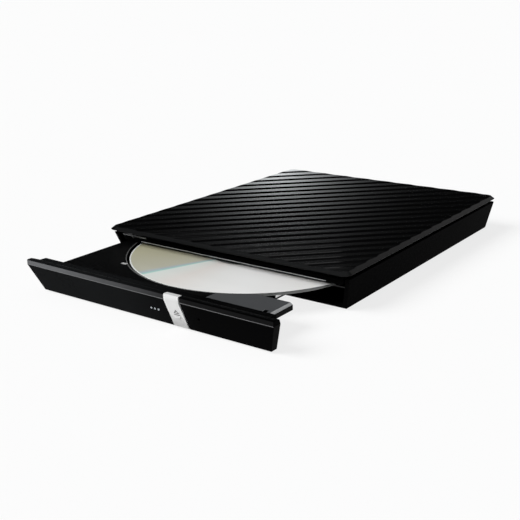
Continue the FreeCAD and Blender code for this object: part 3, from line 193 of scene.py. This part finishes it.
def floor_material():
    mat = bpy.data.materials.new("floor_white")
    mat.use_nodes = True
    tree = mat.node_tree
    tree.nodes.clear()
    out = tree.nodes.new("ShaderNodeOutputMaterial")
    mix = tree.nodes.new("ShaderNodeMixShader")
    matt = tree.nodes.new("ShaderNodeBsdfDiffuse")
    matt.inputs["Color"].default_value = FLOOR_COLOR
    glow = tree.nodes.new("ShaderNodeEmission")
    glow.inputs["Strength"].default_value = 1.0
    path = tree.nodes.new("ShaderNodeLightPath")
    seen = tree.nodes.new("ShaderNodeMath")
    seen.operation = "MAXIMUM"
    either = tree.nodes.new("ShaderNodeMath")
    either.operation = "MAXIMUM"
    part = tree.nodes.new("ShaderNodeMath")
    part.operation = "MULTIPLY"
    part.inputs[1].default_value = FLOOR_PLAIN
    link = tree.links.new
    link(path.outputs["Is Camera Ray"], seen.inputs[0])
    link(path.outputs["Is Glossy Ray"], seen.inputs[1])
    link(seen.outputs[0], either.inputs[0])
    link(path.outputs["Is Transmission Ray"], either.inputs[1])
    link(either.outputs[0], part.inputs[0])
    link(part.outputs[0], mix.inputs[0])
    link(matt.outputs[0], mix.inputs[1])
    link(glow.outputs[0], mix.inputs[2])
    link(mix.outputs[0], out.inputs["Surface"])
    return mat


def add_floor():
    mesh = bpy.data.meshes.new("floor")
    bm = bmesh.new()
    bmesh.ops.create_circle(bm, cap_ends=True, segments=96, radius=FLOOR_RADIUS,
                            matrix=Matrix.Translation((0, 0, cad_box[0][2] - FLOOR_GAP)))
    bm.to_mesh(mesh)
    bm.free()
    floor = bpy.data.objects.new("floor", mesh)
    bpy.context.scene.collection.objects.link(floor)
    mesh.materials.append(floor_material())


# Materials

# The part of the noise's range over which a finish's roughness swings
SWING_BAND = (0.3, 0.7)


def moulded(name, color, roughness, specular=0.5, metallic=0.0, grain=0.3, depth=0.01, mottle=0.12,
            patch=12.0, streak=None, rough_swing=0.06, coat=0.0):
    """A finish with fine grain and broad patches. grain and patch are their sizes in millimetres, depth is the
    grain's height in millimetres, mottle the share that the colour varies, and streak stretches the grain."""
    mat = bpy.data.materials.new(name)
    mat.use_nodes = True
    tree = mat.node_tree
    shader = tree.nodes["Principled BSDF"]
    shader.inputs["Metallic"].default_value = metallic
    shader.inputs["Specular IOR Level"].default_value = specular
    shader.inputs["Coat Weight"].default_value = coat
    where = tree.nodes.new("ShaderNodeTexCoord")
    link = tree.links.new
    place = where.outputs["Object"]
    if streak:
        stretch = tree.nodes.new("ShaderNodeMapping")
        stretch.inputs["Scale"].default_value = streak
        link(place, stretch.inputs["Vector"])
        fine_place = stretch.outputs["Vector"]
    else:
        fine_place = place
    broad = tree.nodes.new("ShaderNodeTexNoise")
    broad.inputs["Scale"].default_value = 1000.0 / patch
    broad.inputs["Detail"].default_value = 4.0
    link(place, broad.inputs["Vector"])
    fine = tree.nodes.new("ShaderNodeTexNoise")
    fine.inputs["Scale"].default_value = 1000.0 / grain
    fine.inputs["Detail"].default_value = 3.0
    link(fine_place, fine.inputs["Vector"])
    tint = tree.nodes.new("ShaderNodeMix")
    tint.data_type = "RGBA"
    tint.inputs["A"].default_value = (*[c * (1 - mottle) for c in color], 1)
    tint.inputs["B"].default_value = (*[min(1, c * (1 + mottle)) for c in color], 1)
    link(broad.outputs["Fac"], tint.inputs["Factor"])
    link(tint.outputs["Result"], shader.inputs["Base Color"])
    swing = tree.nodes.new("ShaderNodeMapRange")
    swing.inputs["To Min"].default_value = max(0.02, roughness - rough_swing)
    swing.inputs["To Max"].default_value = min(1, roughness + rough_swing)
    swing.inputs["From Min"].default_value = SWING_BAND[0]
    swing.inputs["From Max"].default_value = SWING_BAND[1]
    mixed = tree.nodes.new("ShaderNodeMath")
    mixed.operation = "MULTIPLY_ADD"
    mixed.inputs[1].default_value = 0.5
    half = tree.nodes.new("ShaderNodeMath")
    half.operation = "MULTIPLY"
    half.inputs[1].default_value = 0.5
    link(broad.outputs["Fac"], half.inputs[0])
    link(fine.outputs["Fac"], mixed.inputs[0])
    link(half.outputs[0], mixed.inputs[2])
    link(mixed.outputs[0], swing.inputs["Value"])
    link(swing.outputs["Result"], shader.inputs["Roughness"])
    if depth:
        bump = tree.nodes.new("ShaderNodeBump")
        bump.inputs["Strength"].default_value = 1.0
        bump.inputs["Distance"].default_value = depth / 1000.0
        link(fine.outputs["Fac"], bump.inputs["Height"])
        link(bump.outputs["Normal"], shader.inputs["Normal"])
    return mat


def fades(mat, color, start, end, axis="X"):
    """Lets a moulded finish fade along an axis into another colour, from start to end in millimetres."""
    tree = mat.node_tree
    link = tree.links.new
    where = next(n for n in tree.nodes if n.type == "TEX_COORD")
    tint = next(n for n in tree.nodes if n.type == "MIX")
    parts = tree.nodes.new("ShaderNodeSeparateXYZ")
    link(where.outputs["Object"], parts.inputs[0])
    along = tree.nodes.new("ShaderNodeMapRange")
    along.inputs["From Min"].default_value = start / 1000
    along.inputs["From Max"].default_value = end / 1000
    link(parts.outputs[axis], along.inputs["Value"])
    fade = tree.nodes.new("ShaderNodeMix")
    fade.data_type = "RGBA"
    link(along.outputs["Result"], fade.inputs["Factor"])
    link(tint.outputs["Result"], fade.inputs["A"])
    fade.inputs["B"].default_value = (*color, 1)
    link(fade.outputs["Result"], tree.nodes["Principled BSDF"].inputs["Base Color"])
    return mat


# Clear plastics
CLEAR_SHARE = 0.85
ACRYLIC_IOR = 1.49
LIGHT_GLOW = 0.1


def clear(name, color, roughness, glow=None):
    """A clear plastic, which gives off a little light of its own where it has a glow."""
    mat = moulded(name, color, roughness, grain=0.6, depth=0.002, mottle=0.03)
    shader = mat.node_tree.nodes["Principled BSDF"]
    shader.inputs["Transmission Weight"].default_value = CLEAR_SHARE
    shader.inputs["IOR"].default_value = ACRYLIC_IOR
    if glow:
        shader.inputs["Emission Color"].default_value = (*glow, 1)
        shader.inputs["Emission Strength"].default_value = LIGHT_GLOW
    return mat


# Painted reflection: the disc's rainbow and its beige, teal and white sheen, round the disc's centre. Fraction of
# a half turn, and colour
DISC_SHEEN_COLORS = [(0.0, (0.46, 0.44, 0.28)), (0.14, (0.50, 0.48, 0.33)), (0.345, (0.55, 0.54, 0.44)),
               (0.366, (0.46, 0.55, 0.60)), (0.375, (0.42, 0.72, 0.64)), (0.382, (0.80, 0.86, 0.82)),
               (0.47, (0.86, 0.82, 0.78)), (0.58, (0.92, 0.92, 0.90)), (0.68, (0.96, 0.96, 0.95)),
               (0.93, (0.92, 0.91, 0.89)), (1.0, (0.50, 0.48, 0.33))]


def disc_material():
    """The mirror layer with a painted reflection, whose colour turns round the disc's centre and comes twice in a
    full turn.
    """
    mat = moulded("disc_silver", (0.7, 0.7, 0.7), 0.24, metallic=0.1, grain=9.0, depth=0.0, mottle=0.03,
                  rough_swing=0.01, coat=0.3)
    tree = mat.node_tree
    link = tree.links.new
    where = next(n for n in tree.nodes if n.type == "TEX_COORD")
    tint = next(n for n in tree.nodes if n.type == "MIX")
    turn = tree.nodes.new("ShaderNodeTexGradient")
    turn.gradient_type = "RADIAL"
    link(where.outputs["Object"], turn.inputs["Vector"])
    twice = tree.nodes.new("ShaderNodeMath")
    twice.operation = "MULTIPLY"
    twice.inputs[1].default_value = 2.0
    link(turn.outputs["Fac"], twice.inputs[0])
    part = tree.nodes.new("ShaderNodeMath")
    part.operation = "FRACT"
    link(twice.outputs[0], part.inputs[0])
    ramp = tree.nodes.new("ShaderNodeValToRGB")
    ramp.color_ramp.interpolation = "LINEAR"
    stops = ramp.color_ramp.elements
    stops[0].position, stops[0].color = DISC_SHEEN_COLORS[0][0], (*DISC_SHEEN_COLORS[0][1], 1)
    stops[1].position, stops[1].color = DISC_SHEEN_COLORS[-1][0], (*DISC_SHEEN_COLORS[-1][1], 1)
    for at, color in DISC_SHEEN_COLORS[1:-1]:
        stop = stops.new(at)
        stop.color = (*color, 1)
    link(part.outputs[0], ramp.inputs["Fac"])
    link(ramp.outputs["Color"], tint.inputs["A"])
    link(ramp.outputs["Color"], tint.inputs["B"])
    shader = tree.nodes["Principled BSDF"]
    shader.inputs["Anisotropic"].default_value = 0.5
    return mat


# Every finish by name. The parts' slots have the same names, and the others dress a few faces or pieces.
GLOSS = dict(grain=1.6, depth=0.0015, patch=26.0, mottle=0.25)
MATERIALS = {
    "lid_black": moulded("lid_black", (0.0012, 0.0012, 0.0013), 0.075, specular=0.35, rough_swing=0.015, **GLOSS),
    "case_black": moulded("case_black", (0.002, 0.002, 0.0021), 0.25, specular=0.0008, **GLOSS),
    # bezel_black is painted lighter at the left and near black to the right: a painted shade gradient that stands
    # in for how the light falls across the face.
    "bezel_black": fades(moulded("bezel_black", (0.006, 0.0064, 0.0068), 0.3, specular=0.004, **GLOSS),
                         (0.0008, 0.0008, 0.0009), -10, 30),
    # The band is painted grey at the left, fading into black towards the right: a painted highlight where a lamp
    # would catch it.
    "band_painted_sheen": fades(moulded("band_painted_sheen", (0.105, 0.107, 0.111), 0.36, specular=0.06, grain=0.5, depth=0.002,
                                streak=(0.15, 1, 1)), (0.002, 0.002, 0.0022), -60, 26),
    # Light grey lines painted along the band's upper and lower edges: painted highlights.
    "band_edge_highlight": fades(moulded("band_edge_highlight", (0.12, 0.123, 0.126), 0.36, specular=0.3, grain=0.5, depth=0.002),
                       (0.09, 0.09, 0.092), -60, 60),
    "tray_black": moulded("tray_black", (0.002, 0.002, 0.0021), 0.3, specular=0.02, grain=0.22, depth=0.004),
    # The tray's right shelf is painted a lighter grey: a painted reflection of the lit room on a tray that is
    # black.
    "shelf_painted_reflection": moulded("shelf_painted_reflection", (0.058, 0.06, 0.063), 0.4, specular=0.2, grain=0.22, depth=0.004),
    # Light grey laid on the skirt's lower edge, the ledge's left end, the skirt's mark and the shelf's right
    # bevel: painted highlights.
    "lip_painted_highlight": moulded("lip_painted_highlight", (0.42, 0.425, 0.43), 0.35, specular=0.4, grain=0.3, depth=0.002),
    # button_silver is painted darker towards the strip's bottom, which leans away from the light: painted shade.
    "button_silver": fades(moulded("button_silver", (0.64, 0.64, 0.635), 0.38, metallic=0.1, grain=0.12,
                                   depth=0.004, mottle=0.04), (0.4, 0.4, 0.397), 7.0, 1.5, axis="Z"),
    "rubber_black": moulded("rubber_black", (0.02, 0.02, 0.02), 0.8, specular=0.3, grain=0.5, depth=0.03),
    "steel_sheet": moulded("steel_sheet", (0.56, 0.57, 0.56), 0.34, metallic=1.0, grain=0.25, depth=0.004,
                           patch=5.0, mottle=0.14, streak=(1, 0.08, 1)),
    # Nearly black steel for the drive's pan: painted shade.
    "steel_painted_shade": moulded("steel_painted_shade", (0.03, 0.03, 0.031), 0.4, metallic=1.0, grain=0.25, depth=0.004,
                          patch=5.0, mottle=0.14, streak=(1, 0.08, 1)),
    "steel_bright": moulded("steel_bright", (0.7, 0.7, 0.7), 0.2, metallic=1.0, grain=0.2, depth=0.003,
                            streak=(1, 0.05, 1)),
    "screw_black": moulded("screw_black", (0.03, 0.03, 0.032), 0.45, metallic=0.7, grain=0.3, depth=0.008),
    "brass": moulded("brass", (0.62, 0.46, 0.2), 0.28, metallic=1.0, grain=0.6, depth=0.03, streak=(0.1, 4, 0.1)),
    "board_green": moulded("board_green", (0.012, 0.11, 0.045), 0.35, grain=0.8, depth=0.012, patch=6.0,
                           mottle=0.3),
    "chip_black": moulded("chip_black", (0.02, 0.02, 0.022), 0.55, grain=0.15, depth=0.01),
    "connector_shell": moulded("connector_shell", (0.7, 0.7, 0.69), 0.2, metallic=1.0, grain=0.4, depth=0.003,
                               streak=(1, 0.1, 1)),
    "connector_plastic": moulded("connector_plastic", (0.6, 0.56, 0.44), 0.5, grain=0.3, depth=0.008),
    "mechanism_plastic": moulded("mechanism_plastic", (0.03, 0.03, 0.032), 0.45, grain=0.25, depth=0.012),
    "clip_grey": moulded("clip_grey", (0.4, 0.4, 0.4), 0.5, grain=0.2, depth=0.01),
    "disc_silver": disc_material(),
    "disc_clear": clear("disc_clear", (0.8, 0.82, 0.82), 0.08),
    "disc_edge": moulded("disc_edge", (0.16, 0.165, 0.16), 0.2, grain=0.6, depth=0.0, coat=0.4),
    # A light grey lip on the disc's rim: painted highlight.
    "disc_lip_highlight": moulded("disc_lip_highlight", (0.8, 0.82, 0.8), 0.2, grain=0.6, depth=0.0, coat=0.4),
    # A grey bead on the black tray: partly a real bead that catches the light, partly a painted highlight.
    "bead_painted_highlight": moulded("bead_painted_highlight", (0.12, 0.12, 0.12), 0.25, specular=0.6, grain=0.3, depth=0.002),
    "mark_grey": moulded("mark_grey", (0.045, 0.045, 0.05), 0.5, grain=0.3, depth=0.002),
    "light_clear": clear("light_clear", (0.5, 0.52, 0.55), 0.15, glow=(0.9, 0.95, 1.0)),
    "lens_clear": clear("lens_clear", (0.5, 0.6, 0.85), 0.05),
    "led_white": moulded("led_white", (0.8, 0.8, 0.74), 0.4, grain=0.3, depth=0.006),
}

# Each CAD piece's slot
SLOTS = {part["node"]: part["material_slot"] for part in frame["record"]["subparts"]}

# The drive's pan shows in the case's mouth, deep in shade, so its steel is painted nearly black: painted shade
# over its own bright sheet.
LOOKS = {"drive_chassis": "steel_painted_shade"}


def dress_node(name):
    node = nodes[name]
    mat = MATERIALS[LOOKS.get(name, SLOTS[name])]
    for place in node.material_slots:
        place.material = mat


def body_name(node):
    """The body that a CAD piece rides on."""
    for body, held in frame["record"]["behaviour"]["bodies"].items():
        if node in held:
            return body
    return "root"


def link_piece(name, mesh, body):
    """Adds a mesh as a piece of the look that moves with a body."""
    piece = bpy.data.objects.new(name, mesh)
    bpy.context.scene.collection.objects.link(piece)
    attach(piece, body)
    return piece


# Faces with a finish of their own, most of them painted highlights and a painted reflection. A test gets a face's
# middle in millimetres, and its normal.
SKIRT_FRONT = -78.45
SKIRT_LOW = 11.6
SKIRT_LINE = (12.1, 12.45)
SKIRT_LINE_START = -53.5
SKIRT_LINE_END = 57.0
LEDGE_LINE = 0.6
LEDGE_LINE_END = -50.0
LEDGE_TOP = 14.8
SKIRT_MARK = (-59.6, -58.6)
SKIRT_MARK_DEPTH = 1.4
SKIRT_DEPTH = 0.6
BAND_FRONT = -136.7
BAND_LOW = 13.1
BAND_TOP = 15.6
BAND_LINE = 0.3
DECK_TOP = 11.2
SHELF_LEFT = 29.6
SHELF_FALL = 1.3
SQUARE_ON = 0.98
NOT_BACK = 0.3
BEVEL_OUT = 0.15
BEVEL_UP = 0.3
NEAR = 0.1
CLOSE = 0.3


def on_band(at, n):
    return n.y < -SQUARE_ON and at.y < BAND_FRONT and at.z > BAND_LOW - CLOSE


def on_band_edge(at, n):
    return on_band(at, n) and not BAND_LOW + BAND_LINE < at.z < BAND_TOP - BAND_LINE


def on_skirt(at, n):
    return (abs(at.y - SKIRT_FRONT) < SKIRT_DEPTH and SKIRT_LOW - NEAR < at.z < LEDGE_TOP + NEAR
            and n.y < NOT_BACK)


# The skirt's lower edge, the ledge's left end and the mark in the skirt, which get a painted highlight.
def on_skirt_lip(at, n):
    low = SKIRT_LINE_START < at.x < SKIRT_LINE_END and SKIRT_LINE[0] < at.z < SKIRT_LINE[1]
    high = at.x < LEDGE_LINE_END and at.z > LEDGE_TOP - LEDGE_LINE
    mark = at.z > LEDGE_TOP - SKIRT_MARK_DEPTH and SKIRT_MARK[0] < at.x < SKIRT_MARK[1]
    return (low or high or mark) and on_skirt(at, n)


# The tray's right shelf, which is given a painted reflection.
def on_shelf(at, n):
    return at.x > SHELF_LEFT and n.z > SQUARE_ON and abs(at.z - DECK_TOP) < CLOSE


# The shelf's right bevel, which gets a painted highlight.
def on_shelf_bevel(at, n):
    tilted = n.x > BEVEL_OUT and BEVEL_UP < n.z < SQUARE_ON
    return tilted and at.x > SHELF_LEFT and at.z > DECK_TOP - SHELF_FALL


# Where a copy's faces are cut, by axis, so that a narrow edge can carry a painted highlight line
CUTS = {"bezel": [("z", BAND_LOW + BAND_LINE), ("z", BAND_TOP - BAND_LINE)],
        "top_cover": [("z", SKIRT_LINE[0]), ("z", SKIRT_LINE[1]), ("z", LEDGE_TOP - LEDGE_LINE),
                      ("x", SKIRT_LINE_START), ("x", SKIRT_LINE_END), ("x", LEDGE_LINE_END)]}
AXES = {"x": Vector((1, 0, 0)), "z": Vector((0, 0, 1))}

# The finishes for some of a part's faces, in the order that they are laid on. All but the skirt's black are
# painted highlights, painted sheen or painted reflection.
FINISHES = {
    "bezel": [("band_painted_sheen", on_band), ("band_edge_highlight", on_band_edge)],
    "top_cover": [("case_black", on_skirt), ("lip_painted_highlight", on_skirt_lip)],
    "tray": [("shelf_painted_reflection", on_shelf), ("lip_painted_highlight", on_shelf_bevel)],
}

# Rounded copies of the moulded parts. Turns are in degrees, but FLAT_TURN is in radians, and MERGE in metres.
# A face is level when its normal's upward part is over LEVEL.
CORNER_TURN = 30.0
FOLD_TURN = 1.5
LEVEL = 0.985
MERGE = 2e-6
FLAT_TURN = 0.004
ROUND_TURN = 32.0
ROUND_STEPS = 2


def dress_faces(node, mesh):
    for name, wanted in FINISHES.get(node, []):
        mesh.materials.append(MATERIALS[name])
        for face in mesh.polygons:
            if wanted(face.center * 1000, face.normal):
                face.material_index = len(mesh.materials) - 1


def crease(bm):
    """Smooth shading, but sharp at corners and at the ripple's shallow folds."""
    bm.normal_update()
    for face in bm.faces:
        face.smooth = True
    for edge in bm.edges:
        turn = math.degrees(edge.calc_face_angle(0))
        level = all(face.normal.z > LEVEL for face in edge.link_faces)
        edge.smooth = turn < CORNER_TURN and not (level and turn > FOLD_TURN)


def rounded(node, width):
    """Replaces a CAD part with a copy whose edges are rounded by a width in millimetres."""
    bm = bmesh.new()
    bm.from_mesh(nodes[node].data)
    bmesh.ops.remove_doubles(bm, verts=bm.verts, dist=MERGE)
    bmesh.ops.dissolve_limit(bm, angle_limit=FLAT_TURN, verts=bm.verts, edges=bm.edges)
    limit = math.radians(ROUND_TURN)
    sharp = [e for e in bm.edges if len(e.link_faces) == 2 and e.calc_face_angle(0) > limit]
    bmesh.ops.bevel(bm, geom=sharp, offset=width / 1000, segments=ROUND_STEPS, profile=0.5,
                    affect="EDGES", clamp_overlap=False)
    for axis, at in CUTS.get(node, []):
        bmesh.ops.bisect_plane(bm, geom=bm.verts[:] + bm.edges[:] + bm.faces[:],
                               plane_co=AXES[axis] * at / 1000, plane_no=AXES[axis])
    crease(bm)
    mesh = bpy.data.meshes.new("soft_" + node)
    bm.to_mesh(mesh)
    bm.free()
    mesh.materials.append(MATERIALS[SLOTS[node]])
    dress_faces(node, mesh)
    piece = link_piece("soft_" + node, mesh, body_name(node))
    even = piece.modifiers.new("even_shade", "WEIGHTED_NORMAL")
    even.keep_sharp = True
    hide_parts(node)


# Disc and well

TURN_STEPS = 160

# Radii in millimetres: the disc's hole, mould mark, mirror layer and rim, and the bead round the well
HOLE = 7.5
HUB_MARK = 17.0
MIRROR_START = 20.6
MIRROR_END = 59.3
DISC_RIM = 60.0
BEAD_RADIUS = 61.3


def turned(name, profile):
    """A ring of revolution round Z from a closed outline of (radius, height) in millimetres."""
    bm = bmesh.new()
    rings = []
    for i in range(TURN_STEPS):
        a = 2 * math.pi * i / TURN_STEPS
        rings.append([bm.verts.new((r * math.cos(a) / 1000, r * math.sin(a) / 1000, z / 1000))
                      for r, z in profile])
    count = len(profile)
    for i in range(TURN_STEPS):
        here, there = rings[i], rings[(i + 1) % TURN_STEPS]
        for k in range(count):
            n = (k + 1) % count
            bm.faces.new((here[k], there[k], there[n], here[n]))
    bmesh.ops.recalc_face_normals(bm, faces=bm.faces)
    mesh = bpy.data.meshes.new(name)
    bm.to_mesh(mesh)
    bm.free()
    mesh.polygons.foreach_set("use_smooth", [True] * len(mesh.polygons))
    mesh.set_sharp_from_angle(angle=math.radians(CORNER_TURN))
    return mesh


def box_of(node):
    """A node's lowest and highest corner in metres."""
    corners = [nodes[node].matrix_world @ Vector(c) for c in nodes[node].bound_box]
    return (Vector([min(c[i] for c in corners) for i in range(3)]),
            Vector([max(c[i] for c in corners) for i in range(3)]))


def add_disc():
    """The disc in four rings: mirror layer, clear hub, edge and a lip on top painted light grey, a painted
    highlight.
    """
    low, high = box_of("disc")
    middle = (low + high) / 2
    t = (high.z - low.z) * 1000
    a, b = MIRROR_START, MIRROR_END
    data = [(a, 0.02), (b, 0.02), (b, t - 0.02), (a, t - 0.02)]
    hub = [(HOLE, 0.05), (HOLE + 0.1, 0), (HUB_MARK - 0.4, 0), (HUB_MARK, 0.12), (HUB_MARK + 0.4, 0),
           (a, 0), (a, t), (a - 0.9, t), (a - 1.0, t - 0.1), (a - 1.3, t - 0.1), (a - 1.4, t),
           (HOLE + 0.1, t), (HOLE, t - 0.05)]
    rim = [(b, 0), (DISC_RIM - 0.15, 0), (DISC_RIM, 0.15), (DISC_RIM, t - 0.25), (DISC_RIM - 0.1, t - 0.05),
           (b, t - 0.05)]
    lip = [(b, t - 0.05), (DISC_RIM - 0.12, t - 0.05), (DISC_RIM - 0.2, t), (b, t)]
    for name, outline, mat in (("disc_data", data, "disc_silver"), ("disc_hub", hub, "disc_clear"),
                               ("disc_rim", rim, "disc_edge"), ("disc_lip_highlight", lip, "disc_lip_highlight")):
        mesh = turned(name, outline)
        mesh.materials.append(MATERIALS[mat])
        piece = link_piece(name, mesh, body_name("disc"))
        piece.matrix_world = Matrix.Translation((middle.x, middle.y, low.z))
        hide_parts("disc")


def add_well_bead():
    """The thin bead round the tray's well, which catches the light and is also painted grey, a painted highlight
    on the black tray.
    """
    middle = sum(box_of("disc"), Vector()) / 2
    top = box_of("tray")[1].z * 1000
    r = BEAD_RADIUS
    mesh = turned("well_bead", [(r, top - 0.05), (r + 0.4, top - 0.05), (r + 0.36, top + 0.06),
                                (r + 0.2, top + 0.1), (r + 0.04, top + 0.06)])
    mesh.materials.append(MATERIALS["bead_painted_highlight"])
    piece = link_piece("well_bead", mesh, body_name("tray"))
    piece.matrix_world = Matrix.Translation((middle.x, middle.y, 0))


# The eject mark, a triangle over a bar, on the face of the strip. Millimetres.
MARK_X = 19.6
MARK_Z = 7.6
MARK_WIDTH = 3.2
MARK_LINE = 0.32
MARK_PROUD = 0.03
MARK_SUNK = 0.03
MARK_TIP = 1.5
MARK_FOOT = -0.3
BAR_FOOT = -1.2
RAY_START = -200.0


def strip_face():
    """A lookup of the place on the strip's face at an x and z, a little in front of it."""
    bm = bmesh.new()
    bm.from_mesh(nodes["eject_button"].data)
    tree = BVHTree.FromBMesh(bm)
    bm.free()

    def place(x, z, proud):
        hit = tree.ray_cast(Vector((x, RAY_START, z)) / 1000, Vector((0, 1, 0)))
        return hit[0] + hit[1] * proud / 1000
    return place


def add_eject_mark():
    """The outlined triangle and the bar, as thin solids half sunk into the strip."""
    w, t = MARK_WIDTH / 2, MARK_LINE
    inner = MARK_FOOT + t
    triangle = [(-w, MARK_FOOT), (w, MARK_FOOT), (0, MARK_TIP), (0, MARK_TIP - 2 * t), (-w + 2 * t, inner),
                (w - 2 * t, inner)]
    bar = [(-w, BAR_FOOT), (w, BAR_FOOT), (w, BAR_FOOT + t), (-w, BAR_FOOT + t)]
    place = strip_face()
    bm = bmesh.new()
    for points, faces in ((triangle, [[0, 1, 5, 4], [1, 2, 3, 5], [2, 0, 4, 3]]), (bar, [[0, 1, 2, 3]])):
        front = [bm.verts.new(place(MARK_X + x, MARK_Z + z, MARK_PROUD)) for x, z in points]
        back = [bm.verts.new(place(MARK_X + x, MARK_Z + z, -MARK_SUNK)) for x, z in points]
        rims = {}
        for face in faces:
            bm.faces.new([front[i] for i in face])
            bm.faces.new([back[i] for i in reversed(face)])
            for a, b in zip(face, face[1:] + face[:1]):
                rims[(a, b)] = rims.pop((b, a), None) is None
        for (a, b), outer in rims.items():
            if outer:
                bm.faces.new((front[b], front[a], back[a], back[b]))
    bmesh.ops.recalc_face_normals(bm, faces=bm.faces)
    mesh = bpy.data.meshes.new("eject_mark")
    bm.to_mesh(mesh)
    bm.free()
    mesh.materials.append(MATERIALS["mark_grey"])
    link_piece("eject_mark", mesh, body_name("eject_button"))


# Widths of the rounded edges in millimetres
ROUNDINGS = {"top_cover": 0.15, "bottom_case": 0.2, "bezel": 0.15, "eject_button": 0.12, "tray": 0.12,
             "disc_clips": 0.1}

bpy.context.scene.view_settings.view_transform = "Standard"
add_camera()
add_world()
add_floor()
add_sun("front_key", -35.0, 42.0, 35.0, 4.2)
add_lamp("disc_softbox", (-1.13, 1.41, 0.66), (0.01, -0.10, 0.01), (0.55, 0.17), 0.06)
add_lamp("edge_softbox", (0.265, 1.30, 0.74), (0.07, 0.0, 0.02), (0.25, 0.45), 0.09)
for node_name in SLOTS:
    dress_node(node_name)
for node_name, width in ROUNDINGS.items():
    rounded(node_name, width)
add_disc()
add_well_bead()
add_eject_mark()
